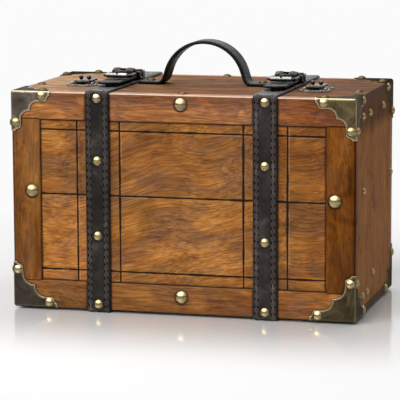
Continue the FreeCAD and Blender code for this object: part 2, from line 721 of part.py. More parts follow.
lid_snaps = []
for side, xc in (("left", -strap_x), ("right", strap_x)):
    half = closing_width / 2

    # Fixed bar: foot plate, two ears and the bar between them
    foot_y0 = closing_pivot_y - pivot_foot_depth / 2
    foot_y1 = closing_pivot_y + pivot_foot_depth / 2
    ear_y = pivot_bar_radius + pivot_ear_thickness
    foot = block(
        xc - ear_out, xc + ear_out, foot_y0, foot_y1, strap_top_z, strap_top_z + pivot_foot_thickness
    )
    bar_parts = [along_x(pivot_bar_radius, xc - ear_out, xc + ear_out, closing_pivot_y, pivot_z)]
    for mirror in (-1, 1):
        x0 = min(xc + mirror * ear_in, xc + mirror * ear_out)
        x1 = max(xc + mirror * ear_in, xc + mirror * ear_out)
        bar_parts.append(
            block(x0, x1, closing_pivot_y - ear_y, closing_pivot_y + ear_y, strap_top_z, pivot_z)
        )
        bar_parts.append(along_x(ear_y, x0, x1, closing_pivot_y, pivot_z))
    nodes["strap_bar_" + side] = fuse(foot, *bar_parts)

    # Strap: a folded eye round the bar and a flat tongue with clipped corners
    eye = along_x(eye_radius, xc - half, xc + half, closing_pivot_y, pivot_z)
    outline = [
        V(xc - half, closing_pivot_y, closing_bottom),
        V(xc - half, closing_tail_y + closing_tip_cut, closing_bottom),
        V(xc - half + closing_tip_cut, closing_tail_y, closing_bottom),
        V(xc + half - closing_tip_cut, closing_tail_y, closing_bottom),
        V(xc + half, closing_tail_y + closing_tip_cut, closing_bottom),
        V(xc + half, closing_pivot_y, closing_bottom),
    ]
    tongue = plate(outline, V(0, 0, closing_thickness))
    strap = fuse(eye, tongue)
    strap = strap.cut(along_x(eye_bore, xc - far, xc + far, closing_pivot_y, pivot_z))
    nodes["closing_strap_" + side] = strap

    # Snap: one disc under the tongue, its mate on the lid strap
    nodes["closing_snap_" + side] = Part.makeCylinder(
        snap_radius, snap_thickness, V(xc, snap_y, closing_bottom - snap_thickness)
    )
    lid_snaps.append(Part.makeCylinder(snap_radius, snap_thickness, V(xc, snap_y, strap_top_z)))

    # Buckle frame of round wire bent to a rectangle
    nodes["buckle_frame_" + side] = wire_frame(xc)

    # Roller on the front bar
    r0 = xc - roller_length / 2
    r1 = xc + roller_length / 2
    roller = along_x(roller_radius, r0, r1, buckle_front_y, bar_z)
    nodes["buckle_roller_" + side] = roller.cut(along_x(roller_bore, r0 - 1, r1 + 1, buckle_front_y, bar_z))

    # Chape: leather folded round the rear bar into a hump, slotted for the prong
    chape = folded_chape(xc - chape_width / 2, chape_width)
    slot = block(
        xc - chape_slot / 2,
        xc + chape_slot / 2,
        buckle_rear_y - 2 * chape_radius,
        buckle_rear_y + chape_slot_depth,
        closing_top + chape_thickness,
        bar_z + 4 * chape_radius,
    )
    mouth = block(
        xc - chape_slot / 2,
        xc + chape_slot / 2,
        buckle_rear_y - 2 * chape_radius,
        buckle_rear_y + prong_eye_radius + prong_rest_gap,
        closing_top - chape_thickness,
        bar_z + chape_radius,
    )
    nodes["buckle_chape_" + side] = chape.cut(slot).cut(mouth)

    # Prong: an eye on the rear bar and a round tongue that rests over the roller
    p0 = xc - prong_eye_length / 2
    p1 = xc + prong_eye_length / 2
    prong_eye = along_x(prong_eye_radius, p0, p1, buckle_rear_y, bar_z)
    prong_start = V(xc, buckle_rear_y, bar_z + prong_bore + prong_radius)
    prong_end = V(
        xc,
        buckle_front_y - prong_overhang,
        bar_z + roller_radius + prong_rest_gap + prong_radius * 1.1,
    )
    prong = fuse(
        prong_eye,
        rod(prong_radius, prong_start, prong_end),
        Part.makeSphere(prong_radius, prong_end),
        Part.makeSphere(prong_radius, prong_start),
    )
    nodes["buckle_prong_" + side] = prong.cut(along_x(prong_bore, p0 - 1, p1 + 1, buckle_rear_y, bar_z))

    # Keeper: a leather ring round the strap and the chape
    k0 = buckle_rear_y + chape_close_setback + chape_thickness + keeper_gap
    k1 = k0 + keeper_length
    keeper_top = closing_top + chape_thickness
    keeper = block(
        xc - half - keeper_thickness,
        xc + half + keeper_thickness,
        k0,
        k1,
        closing_bottom - keeper_thickness,
        keeper_top + keeper_thickness,
    )
    long_edges = [e for e in keeper.Edges if abs(e.BoundBox.YLength - keeper_length) < 1e-6]
    keeper = keeper.makeFillet(keeper_thickness * 0.9, long_edges)
    nodes["keeper_loop_" + side] = keeper.cut(
        block(xc - half, xc + half, k0 - 1, k1 + 1, closing_bottom, keeper_top)
    )
nodes["lid_snaps"] = Part.makeCompound(lid_snaps)

# Hasp latches: a plate with ears and pin on the lid, a swinging hasp, a catch with a stud on the base
latch_pivot_y = parting_y - latch_pivot_setback
latch_pivot_z = top_z + latch_rim_thickness + latch_step_thickness + latch_knuckle_radius
hasp_z0 = latch_pivot_z - hasp_thickness / 2
stud_y = parting_y + catch_setback + catch_depth / 2
latch_pins = []
for side, xc in (("left", -latch_x), ("right", latch_x)):
    plate_yc = parting_y - latch_plate_setback - latch_plate_depth / 2
    base_plate = stepped_oval(xc, plate_yc, latch_plate_width, latch_plate_depth)
    knuckle_half = latch_knuckle_length / 2
    latch_in = knuckle_half + latch_ear_gap
    latch_out = latch_in + latch_ear_length
    ears = []
    for mirror in (-1, 1):
        x0 = min(xc + mirror * latch_in, xc + mirror * latch_out)
        x1 = max(xc + mirror * latch_in, xc + mirror * latch_out)
        ears.append(along_x(latch_knuckle_radius, x0, x1, latch_pivot_y, latch_pivot_z))
        ears.append(
            block(
                x0,
                x1,
                latch_pivot_y - latch_knuckle_radius,
                latch_pivot_y + latch_knuckle_radius,
                top_z,
                latch_pivot_z,
            )
        )
    body = fuse(base_plate, *ears)
    pin_hole = along_x(latch_pin_radius, xc - latch_out, xc + latch_out, latch_pivot_y, latch_pivot_z)
    nodes["latch_plate_" + side] = body.cut(pin_hole)
    latch_pins.append(pin_hole)

    knuckle = along_x(
        latch_knuckle_radius, xc - knuckle_half, xc + knuckle_half, latch_pivot_y, latch_pivot_z
    )
    neck_end = latch_pivot_y + latch_knuckle_radius + 2 * latch_ear_gap
    neck = block(
        xc - knuckle_half, xc + knuckle_half, latch_pivot_y, neck_end + 2, hasp_z0, hasp_z0 + hasp_thickness
    )
    arm = block(
        xc - hasp_width / 2, xc + hasp_width / 2, neck_end, stud_y, hasp_z0, hasp_z0 + hasp_thickness
    )
    head = Part.makeCylinder(hasp_head_radius, hasp_thickness, V(xc, stud_y, hasp_z0))
    hasp_top = hasp_z0 + hasp_thickness
    knobs = []
    for mirror in (-1, 1):
        knob_x = xc + mirror * hasp_knob_spacing / 2
        knob_y = latch_pivot_y + hasp_knob_reach
        ball = V(knob_x, knob_y, hasp_top + hasp_knob_rise)
        knobs.append(rod(hasp_knob_neck_radius, V(knob_x, knob_y, hasp_z0), ball))
        knobs.append(Part.makeSphere(hasp_knob_radius, ball))
    hasp = fuse(knuckle, neck, arm, head, *knobs)
    hasp = hasp.cut(
        along_x(latch_pin_radius + running_clearance, xc - far, xc + far, latch_pivot_y, latch_pivot_z)
    )
    hole = Part.makeCylinder(
        hasp_stud_radius + hasp_hole_gap, 4 * hasp_thickness, V(xc, stud_y, hasp_z0 - hasp_thickness)
    )
    nodes["latch_hasp_" + side] = hasp.cut(hole)

    catch_plate = stepped_oval(xc, stud_y, catch_width, catch_depth)
    stud_top = hasp_z0 + hasp_thickness + 0.6
    stud = Part.makeCylinder(hasp_stud_radius, stud_top - top_z, V(xc, stud_y, top_z))
    stud = stud.makeFillet(1.2, [e for e in stud.Edges if abs(e.BoundBox.ZMin - stud_top) < 1e-6])
    nodes["latch_catch_" + side] = fuse(catch_plate, stud)
nodes["latch_pins"] = Part.makeCompound(latch_pins)

for name, shape in nodes.items():
    shape.exportStep("parts/" + name + ".step")
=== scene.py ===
import math
import random
from functools import partial, reduce

import bmesh
import bpy
from mathutils import Matrix, Vector
from mathutils.kdtree import KDTree


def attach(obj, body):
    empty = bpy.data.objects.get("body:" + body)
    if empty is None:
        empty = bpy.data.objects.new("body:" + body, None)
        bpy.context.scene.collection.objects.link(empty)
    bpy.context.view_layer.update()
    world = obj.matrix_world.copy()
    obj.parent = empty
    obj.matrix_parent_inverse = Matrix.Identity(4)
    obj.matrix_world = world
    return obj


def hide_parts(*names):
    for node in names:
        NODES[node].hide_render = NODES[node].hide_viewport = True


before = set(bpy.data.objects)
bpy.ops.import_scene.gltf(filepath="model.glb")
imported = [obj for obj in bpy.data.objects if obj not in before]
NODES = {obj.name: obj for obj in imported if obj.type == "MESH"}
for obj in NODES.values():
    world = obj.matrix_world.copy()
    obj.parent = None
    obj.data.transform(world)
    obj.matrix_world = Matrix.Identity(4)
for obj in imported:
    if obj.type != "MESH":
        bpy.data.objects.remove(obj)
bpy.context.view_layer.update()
MM = 0.001
SIDES = (("left", -1), ("right", 1))
HALVES = (("lid", -1), ("base", 1))

# The chest's own sizes in millimetres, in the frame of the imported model
HALF_WIDTH = 200.0
FRONT_Y = -110.0
BACK_Y = 110.0
PARTING_Y = -22.0
BOTTOM_Z = 3.0
TOP_Z = 252.0
EDGE_RADIUS = 2.5
STRAP_X = 97.5
STRAP_WIDTH = 28.0
STRAP_THICKNESS = 3.0
STRAP_END = 0.5
STRAP_HINGE_SETBACK = 8.0
PANEL_Y = -108.0
FIELD_X = 166.5
FIELD_Z0 = 34.5
FIELD_Z1 = 220.5
SCORE_DEPTH = 1.4
SCORE_ROWS = (209.0, 135.0, 48.0)
SCORE_COLUMNS = (-122.5, -72.0, 72.0, 122.5)
BRACKET_SHEET = 1.0


# Shader helpers
class Graph:
    """The node tree of a material or a world, with short calls for the nodes used here."""

    def __init__(self, owner, output="ShaderNodeOutputMaterial"):
        self.owner = owner
        owner.use_nodes = True
        self.tree = owner.node_tree
        self.tree.nodes.clear()
        self.output = self.node(output)

    def node(self, kind, inputs=None, **settings):
        made = self.tree.nodes.new(kind)
        for key, value in settings.items():
            setattr(made, key, value)
        for key, value in (inputs or {}).items():
            self.put(made.inputs[key], value)
        return made

    def put(self, socket, value):
        if isinstance(value, bpy.types.Node):
            value = value.outputs[0]
        if isinstance(value, bpy.types.NodeSocket):
            self.tree.links.new(value, socket)
        else:
            socket.default_value = value

    def math(self, operation, a, b=None):
        inputs = {0: a} if b is None else {0: a, 1: b}
        return self.node("ShaderNodeMath", inputs, operation=operation)

    def blend(self, *terms):
        """The weighted sum of (value, weight) terms."""
        return reduce(partial(self.math, "ADD"), [self.math("MULTIPLY", *term) for term in terms])

    def least(self, *values):
        return reduce(partial(self.math, "MINIMUM"), values)

    def vector(self, operation, a, b):
        return self.node("ShaderNodeVectorMath", {0: a, 1: b}, operation=operation)

    def squeeze(self, vector, factor):
        """Packs a pattern closer across the grain, so that it runs out along it."""
        return self.vector("MULTIPLY", vector, (1.0, factor, factor))

    def sway(self, noise, reach):
        """Turns a noise into a shift across the grain."""
        centred = self.vector("SUBTRACT", noise.outputs["Color"], (0.5, 0.5, 0.5))
        return self.vector("MULTIPLY", centred, (0.0, reach, reach))

    def noise(self, vector, scale, detail=3.0, roughness=0.55, distortion=0.0):
        inputs = {"Vector": vector, "Scale": scale, "Detail": detail}
        inputs.update({"Roughness": roughness, "Distortion": distortion})
        return self.node("ShaderNodeTexNoise", inputs)

    def ramp(self, factor, stops):
        made = self.node("ShaderNodeValToRGB", {0: factor})
        points = made.color_ramp.elements
        while len(points) < len(stops):
            points.new(0.5)
        for point, (place, colour) in zip(points, stops):
            point.position = place
            point.color = (*colour, 1.0) if len(colour) == 3 else (*colour * 3, 1.0)
        return made.outputs[0]

    def span(self, value, low, high, to_low=0.0, to_high=1.0):
        return self.node(
            "ShaderNodeMapRange",
            {"Value": value, "From Min": low, "From Max": high, "To Min": to_low, "To Max": to_high},
            interpolation_type="SMOOTHSTEP",
        )

    def mix(self, factor, a, b, blend="MIX"):
        made = self.node("ShaderNodeMix", data_type="RGBA", blend_type=blend)
        for place, value in ((0, factor), (6, a), (7, b)):
            if isinstance(value, tuple) and len(value) == 3:
                value = (*value, 1.0)
            self.put(made.inputs[place], value)
        return made.outputs[2]

    def scale(self, colour, factor):
        return self.node("ShaderNodeVectorMath", {0: colour, 3: factor}, operation="SCALE").outputs[0]

    def bump(self, height, strength, distance, normal=None):
        inputs = {"Height": height, "Strength": strength, "Distance": distance}
        if normal is not None:
            inputs["Normal"] = normal
        return self.node("ShaderNodeBump", inputs)

    def grime_and_shade(self, colour, reach, darkest, low=0.73, high=0.985, samples=6):
        """Painted contact shade: darkens a colour where another piece stands close, round nails and along
        strap edges.
        """
        shut = self.node("ShaderNodeAmbientOcclusion", {"Distance": reach * MM}, samples=samples)
        return self.scale(colour, self.span(shut.outputs["AO"], low, high, darkest, 1.0))

    def object_point(self):
        return self.node("ShaderNodeTexCoord").outputs["Object"]

    def facing_up(self):
        """How far a face looks up, from -1 to 1."""
        return self.axes(self.node("ShaderNodeTexCoord").outputs["Normal"])[2]

    def attribute(self, name):
        return self.node("ShaderNodeAttribute", attribute_name=name).outputs["Fac"]

    def axes(self, vector):
        return self.node("ShaderNodeSeparateXYZ", {0: vector}).outputs

    def mix_shader(self, factor, a, b):
        return self.node("ShaderNodeMixShader", {0: factor, 1: a, 2: b})

    def close(self, shader):
        self.tree.links.new(shader.outputs[0], self.output.inputs["Surface"])
        return self.owner

    def finish(self, **inputs):
        shader = self.node("ShaderNodeBsdfPrincipled")
        for key, value in inputs.items():
            self.put(shader.inputs[key.replace("_", " ")], value)
        return self.close(shader)


def material_graph(name):
    return Graph(bpy.data.materials.new(name))


def toned(colour, factor):
    return tuple(min(1.0, c * factor) for c in colour)


# Distances in from the chest's faces; out is how far a sheet's outer side stands off the wood
def from_end(g, x, out=0.0):
    return g.math("SUBTRACT", (HALF_WIDTH + out) * MM, g.math("ABSOLUTE", x))


def from_top(g, z, out=0.0):
    return g.math("SUBTRACT", (TOP_Z + out) * MM, z)


def from_front(g, y, out=0.0):
    return g.math("SUBTRACT", y, (FRONT_Y - out) * MM)


def from_scores(g, x, z, shift=0.0):
    """Off the nearest scored line, with the lines moved down and to the right by shift."""
    gaps = [g.math("SUBTRACT", z, (row - shift) * MM) for row in SCORE_ROWS]
    gaps += [g.math("SUBTRACT", x, (column + shift) * MM) for column in SCORE_COLUMNS]
    return g.least(*(g.math("ABSOLUTE", gap) for gap in gaps))


def ragged(g, along, scale, reach, detail=4.0, roughness=0.7):
    """A wandering distance that keeps a stain's border from running straight."""
    return g.math("MULTIPLY", g.noise(along, scale, detail, roughness), reach)


# Wood
def wood(
    name, grain, palette, seed, curl, tones=None, masks=(), roughness=0.46, shine=0.2, tilt=0.0, figure=1.0
):
    """Timber with its grain along one axis.

    palette runs from dark to pale, curl bends the figure, tilt slants it and figure is its strength.
    """
    g = material_graph(name)
    x, y, z = g.axes(g.object_point())
    length, depth, height = {"x": (x, y, z), "z": (z, y, x)}[grain]
    across = g.math("SUBTRACT", height, g.math("MULTIPLY", length, tilt))
    along = g.node("ShaderNodeCombineXYZ", {0: length, 1: depth, 2: across})
    along = g.vector("ADD", along, (seed * 1.37, seed * 0.71, seed * 2.13))
    bend = g.sway(g.noise(g.squeeze(along, 0.6), 8.0, 1.0, 0.4), curl)
    drift = g.sway(g.noise(g.squeeze(along, 2.2), 17.0, 2.0, 0.5), 0.007)
    warped = g.vector("ADD", g.vector("ADD", along, bend), drift)

    bands = g.noise(g.squeeze(warped, 6.0), 9.0, 3.0, 0.55, 0.4)
    streaks = g.noise(g.squeeze(warped, 17.0), 28.0, 4.0, 0.62, 0.25)
    fibres = g.noise(g.squeeze(warped, 26.0), 36.0, 3.0, 0.55)
    blotch = g.noise(g.squeeze(along, 1.6), 15.0, 3.0, 0.6, 0.8)
    pits = g.noise(g.squeeze(warped, 4.0), 130.0, 2.0, 0.5)
    stain = g.noise(along, 26.0, 4.0, 0.65, 1.2)
    patch = g.noise(g.squeeze(along, 2.0), 15.0, 4.0, 0.62, 0.9).outputs["Color"]
    patch = g.node("ShaderNodeSeparateColor", {0: patch}).outputs

    dark, mid, light, pale = palette
    grey = (mid[0] * 0.74, mid[1] * 0.90, min(mid[2] * 2.0, mid[1] * 0.55))
    olive = (mid[0] * 0.92, mid[1] * 1.12, mid[2] * 0.85)
    tone = g.blend((bands, 0.5), (blotch, 0.5))
    colour = g.ramp(tone, [(0.37, dark), (0.47, mid), (0.55, light), (0.66, pale)])
    colour = g.mix(g.span(patch[0], 0.44, 0.60, 0.0, 0.80 * figure), colour, grey)
    colour = g.mix(g.span(patch[1], 0.50, 0.66, 0.0, 0.50 * figure), colour, olive)
    colour = g.scale(colour, g.span(streaks, 0.37, 0.63, 1.0 - 0.28 * figure, 1.0 + 0.27 * figure))
    colour = g.scale(colour, g.span(fibres, 0.30, 0.70, 1.0 - 0.30 * figure, 1.0 + 0.28 * figure))
    colour = g.mix(g.span(stain, 0.44, 0.30, 0.0, 0.6), colour, (0.42, 0.36, 0.32), "MULTIPLY")
    colour = g.mix(g.span(pits, 0.69, 0.74, 0.0, 0.6), colour, toned(dark, 0.3))
    if tones:
        colour = g.scale(colour, tones(g, x, y, z))
    # Painted contact shade round nails, straps and brackets.
    colour = g.grime_and_shade(colour, reach=2.6, darkest=0.10)
    for maker in masks:
        factor, target, blend = maker(g, x, y, z, along)
        colour = g.mix(factor, colour, target, blend)

    polish = g.blend((streaks, 0.6), (stain, 0.25))
    rough = g.span(polish, 0.3, 0.6, roughness + 0.12, roughness - 0.06)
    normal = g.bump(g.blend((fibres, 0.6), (streaks, 0.5)), 0.25, 0.0006)
    return g.finish(
        Base_Color=colour, Roughness=rough, Normal=normal, IOR=1.45, Specular_IOR_Level=shine
    )


# Tones: factors on a wood's colour
def panel_tones(g, x, y, z):
    """Each field between the scored lines has its own tone, as separately picked boards do."""
    middle = SCORE_ROWS[1]
    low = g.span(z, (middle - 0.6) * MM, (middle + 0.6) * MM, 1.0, 0.0)
    column = g.math("ABSOLUTE", x)
    outer, edge = (g.span(column, (line - 0.5) * MM, (line + 0.5) * MM) for line in SCORE_COLUMNS[2:])
    shade = g.math("ADD", 0.94, g.blend((low, 0.04), (outer, -0.05), (edge, 0.07)))
    lower_right = g.math("ADD", -0.10, g.math("MULTIPLY", low, -0.14))
    lower_left = g.math("MULTIPLY", low, 0.34)
    right = g.math("MULTIPLY", g.span(x, 0.06, 0.17), lower_right)
    left = g.math("MULTIPLY", g.span(x, -0.07, -0.13), lower_left)
    return g.math("ADD", shade, g.math("ADD", right, left))


def stile_shade(g, x, y, z):
    """The stile on the right is darker than its mate, and more so lower down."""
    drop = g.math("SUBTRACT", g.span(z, 0.05, 0.20, 0.62, 0.86), 1.0)
    return g.math("ADD", 1.0, g.math("MULTIPLY", g.span(x, 0.05, 0.15), drop))


def top_tones(g, x, y, z):
    """The top is lighter towards the left end, a painted sheen, and darker towards the right end."""
    return g.math("MULTIPLY", g.span(x, -0.20, -0.06, 1.85, 0.71), g.span(x, 0.02, 0.16, 1.0, 0.68))


def bottom_tones(g, x, y, z):
    """The bottom rail is paler towards the right."""
    return g.span(x, -0.02, 0.12, 0.87, 1.34)


# Masks: how far a wood takes on another colour, that colour, and how the two mix
def right_tint(tint):
    """The wood towards the right end is a deeper, redder brown."""
    return lambda g, x, y, z, along: (g.span(x, 0.07, 0.15), tint, "MULTIPLY")


def panel_face(g, y, factor):
    """Keeps a mask to the panel's front, down to the floors of its scored lines."""
    floor_y = (PANEL_Y + SCORE_DEPTH) * MM
    return g.math("MULTIPLY", factor, g.span(y, floor_y + 0.0001, floor_y + 0.0003, 1.0, 0.0))


def groove_stain(g, x, y, z, along):
    """The scored lines are burnt dark in their floors."""
    deep = g.span(y, (PANEL_Y + 0.15) * MM, (PANEL_Y + 0.7) * MM)
    return panel_face(g, y, deep), (0.018, 0.008, 0.004), "MIX"


def panel_border_shade(g, x, y, z, along):
    """Painted shade along where the panel meets the frame."""
    side = g.math("SUBTRACT", FIELD_X * MM, g.math("ABSOLUTE", x))
    upper = g.math("SUBTRACT", FIELD_Z1 * MM, z)
    lower = g.math("SUBTRACT", z, FIELD_Z0 * MM)
    run = ragged(g, along, scale=60.0, reach=0.003, detail=3.0, roughness=0.55)
    near = g.math("SUBTRACT", g.least(side, upper, lower), run)
    return g.span(near, -0.0012, 0.0016, 0.85, 0.0), (0.16, 0.10, 0.07), "MULTIPLY"


def score_lip_highlights(g, x, y, z, along):
    """A painted highlight on the lower lip below and beside each scored line."""
    near = from_scores(g, x, z, 1.7)
    broken = g.span(g.noise(along, 42.0, 4.0, 0.7), 0.42, 0.60, 0.0, 0.45)
    lips = g.math("MULTIPLY", g.span(near, 0.0002, 0.0009, 1.0, 0.0), broken)
    return panel_face(g, y, lips), (0.42, 0.24, 0.11), "MIX"


def score_burn(g, x, y, z, along):
    """Stain has run a little way out of the scored lines."""
    run = g.span(g.noise(along, 38.0, 4.0, 0.7), 0.42, 0.66, 0.0003, 0.0014)
    near = g.math("SUBTRACT", from_scores(g, x, z), run)
    return panel_face(g, y, g.span(near, 0.0001, 0.0007, 0.88, 0.0)), (0.020, 0.009, 0.005), "MIX"


def arris_shade(g, x, y, z, along):
    """Painted shade on the upright arrises, where the rounded corners turn away from the light."""
    near = g.math("MAXIMUM", from_end(g, x), from_front(g, y))
    return g.span(near, 0.0008, 0.0032, 0.85, 0.0), (0.30, 0.24, 0.20), "MULTIPLY"


def end_face(g, x, y, z, along):
    """The ends of the top and bottom boards are stained like the end boards."""
    return g.span(g.math("ABSOLUTE", x), 0.1980, 0.1996), (0.070, 0.036, 0.018), "MIX"


def top_left_sheen(g, x, y, z, along):
    """The painted sheen at the left end of the top is greyer as well."""
    return g.span(x, -0.17, -0.03, 1.0, 0.0), (1.12, 1.50, 1.95), "MULTIPLY"


def edge_wear_and_highlight(g, x, y, z, along):
    """The upper arrises are paler, partly rubbed and partly a painted highlight."""
    upper = from_top(g, z)
    over_end = g.math("MAXIMUM", from_end(g, x), upper)
    over_front = g.math("MAXIMUM", upper, from_front(g, y))
    run = ragged(g, along, scale=45.0, reach=0.0022)
    near = g.math("SUBTRACT", g.least(over_end, over_front), run)
    return g.span(near, -0.0010, 0.0012, 0.40, 0.0), (0.50, 0.32, 0.19), "MIX"


def front_arris_highlight(g, x, y, z, along):
    """A painted highlight runs as a pale line along the top front arris."""
    near = g.math("MAXIMUM", from_top(g, z), from_front(g, y))
    near = g.math("ADD", near, ragged(g, along, scale=70.0, reach=0.0008))
    return g.span(near, 0.0011, 0.0021, 0.85, 0.0), (0.80, 0.66, 0.53), "MIX"


def edge_stain(g, x, y, z, along):
    """Old polish darkens the front faces towards their borders."""
    lower = g.math("SUBTRACT", z, BOTTOM_Z * MM)
    near = g.least(from_top(g, z), lower, from_end(g, x))
    near = g.math("SUBTRACT", near, ragged(g, along, scale=30.0, reach=0.012, roughness=0.55))
    edge = g.span(near, -0.004, 0.010, 0.5, 0.0)
    at_front = g.span(from_front(g, y), 0.004, 0.0005)
    return g.math("MULTIPLY", edge, at_front), (0.42, 0.33, 0.27), "MULTIPLY"


def side_shade(g, x, y, z, along):
    """Painted shade darkens the upper part of the end boards."""
    run = ragged(g, along, scale=20.0, reach=0.012, detail=3.0, roughness=0.55)
    return g.span(g.math("ADD", z, run), 0.206, 0.226, 0.0, 0.90), (0.34, 0.29, 0.26), "MULTIPLY"


FRONT_PALETTE = ((0.150, 0.046, 0.008), (0.255, 0.091, 0.016), (0.335, 0.128, 0.024), (0.430, 0.185, 0.044))
RAIL_PALETTE = ((0.165, 0.051, 0.013), (0.278, 0.097, 0.025), (0.365, 0.138, 0.038), (0.460, 0.197, 0.065))
BOTTOM_PALETTE = ((0.130, 0.041, 0.007), (0.205, 0.074, 0.013), (0.270, 0.104, 0.019), (0.360, 0.155, 0.036))
STILE_PALETTE = ((0.120, 0.040, 0.008), (0.190, 0.071, 0.0145), (0.245, 0.097, 0.0225), (0.310, 0.133, 0.038))
CASE_PALETTE = ((0.120, 0.045, 0.016), (0.185, 0.074, 0.025), (0.235, 0.098, 0.034), (0.300, 0.135, 0.052))
END_PALETTE = ((0.190, 0.071, 0.016), (0.225, 0.086, 0.021), (0.250, 0.098, 0.025), (0.285, 0.115, 0.031))

panel_wood = wood(
    "panel_wood", "x", FRONT_PALETTE, seed=1.0, curl=0.060, tones=panel_tones, tilt=0.17,
    masks=(right_tint((0.95, 0.88, 0.68)), score_lip_highlights, score_burn, panel_border_shade, groove_stain),
)
top_rail_wood = wood(
    "top_rail_wood", "x", RAIL_PALETTE, seed=2.0, curl=0.030,
    masks=(edge_stain, right_tint((0.70, 0.56, 0.40)), edge_wear_and_highlight, front_arris_highlight, arris_shade),
)
bottom_rail_wood = wood(
    "bottom_rail_wood", "x", BOTTOM_PALETTE, seed=3.4, curl=0.030, tones=bottom_tones,
    masks=(edge_stain, arris_shade),
)
stile_wood = wood(
    "stile_wood", "z", STILE_PALETTE, seed=4.3, curl=0.030, tones=stile_shade, shine=0.03, figure=0.6,
    masks=(edge_stain, right_tint((0.97, 0.80, 0.52)), arris_shade),
)
top_wood = wood(
    "top_wood", "x", CASE_PALETTE, seed=5.1, curl=0.020, tones=top_tones, roughness=0.50, shine=0.012,
    masks=(top_left_sheen, edge_wear_and_highlight, front_arris_highlight, end_face),
)
end_wood = wood(
    "end_wood", "z", END_PALETTE, seed=6.6, curl=0.014, roughness=0.55, shine=0.02, figure=0.40,
    masks=(side_shade, arris_shade),
)
back_wood = wood("back_wood", "x", CASE_PALETTE, seed=7.9, curl=0.030, masks=(edge_wear_and_highlight,))


# Leather, thread and metals
def leather(name, base, glow, rough, shine):
    """Strap leather: a creased grain with pores, worn in patches, with a painted sheen, painted highlights on
    the welts and painted shade where it faces up, near other pieces and in its creases.
    """
    g = material_graph(name)
    point = g.object_point()
    cells = {"Vector": point, "Scale": 900.0}
    grain = g.node("ShaderNodeTexVoronoi", cells, feature="DISTANCE_TO_EDGE")
    pores = g.noise(point, 1700.0, 3.0, 0.6)
    wear = g.noise(point, 70.0, 4.0, 0.65, 0.6)
    cloud = g.noise(point, 19.0, 3.0, 0.6)
    colour = g.ramp(wear, [(0.32, toned(base, 0.62)), (0.52, base), (0.74, glow)])
    # Lighter and darker patches at random, a painted sheen.
    colour = g.scale(colour, g.span(cloud, 0.34, 0.68, 0.72, 1.38))
    colour = g.scale(colour, g.span(g.axes(point)[0], -0.10, 0.10, 0.90, 1.16))
    # Painted highlight on the padded welt between the stitched rows.
    welt_highlight = g.math("MULTIPLY", g.attribute("welt"), 1.3)
    colour = g.scale(colour, g.math("ADD", 1.0, welt_highlight))
    # Painted shade: darker where the leather faces up.
    colour = g.scale(colour, g.span(g.facing_up(), 0.45, 0.95, 1.0, 0.55))
    # Painted contact shade round nails and buckle parts.
    colour = g.grime_and_shade(colour, reach=4.0, darkest=0.04)
    creases = g.span(grain.outputs["Distance"], 0.0, 0.16)
    # Painted shade in the grain's creases.
    crease_shade = g.math("MULTIPLY", g.math("SUBTRACT", 1.0, creases), 0.45)
    colour = g.mix(crease_shade, colour, toned(base, 0.4))
    relief = g.blend((creases, 0.7), (pores, 0.5))
    normal = g.bump(relief, 0.30, 0.00025, g.bump(wear, 0.15, 0.0008))
    roughness = g.span(wear, 0.30, 0.72, rough + 0.12, rough - 0.10)
    return g.finish(
        Base_Color=colour, Roughness=roughness, Normal=normal, IOR=1.48, Specular_IOR_Level=shine
    )


strap_leather = leather(
    "strap_leather", (0.0228, 0.0184, 0.0168), (0.058, 0.048, 0.044), rough=0.30, shine=0.11
)
handle_leather = leather(
    "handle_leather", (0.010, 0.0083, 0.0077), (0.028, 0.0240, 0.0215), rough=0.34, shine=0.06
)


def thread(name, low, high, shine):
    """Twisted thread, or the painted shade of an awl hole."""
    g = material_graph(name)
    twist = {"Vector": g.object_point(), "Scale": 900.0, "Distortion": 1.5, "Detail": 2.0}
    ply = g.node("ShaderNodeTexWave", twist)
    tint = g.ramp(ply, [(0.2, low), (0.8, high)])
    normal = g.bump(ply.outputs["Fac"], 0.4, 0.0002)
    return g.finish(Base_Color=tint, Roughness=0.42, Normal=normal, Specular_IOR_Level=shine)


stitch_thread = thread("stitch_thread", (0.022, 0.019, 0.018), (0.100, 0.090, 0.084), shine=0.3)
# The awl holes are black lenses of painted shade.
stitch_hole = thread("stitch_hole", (0.0006, 0.0005, 0.0005), (0.002, 0.0015, 0.0015), shine=0.0)


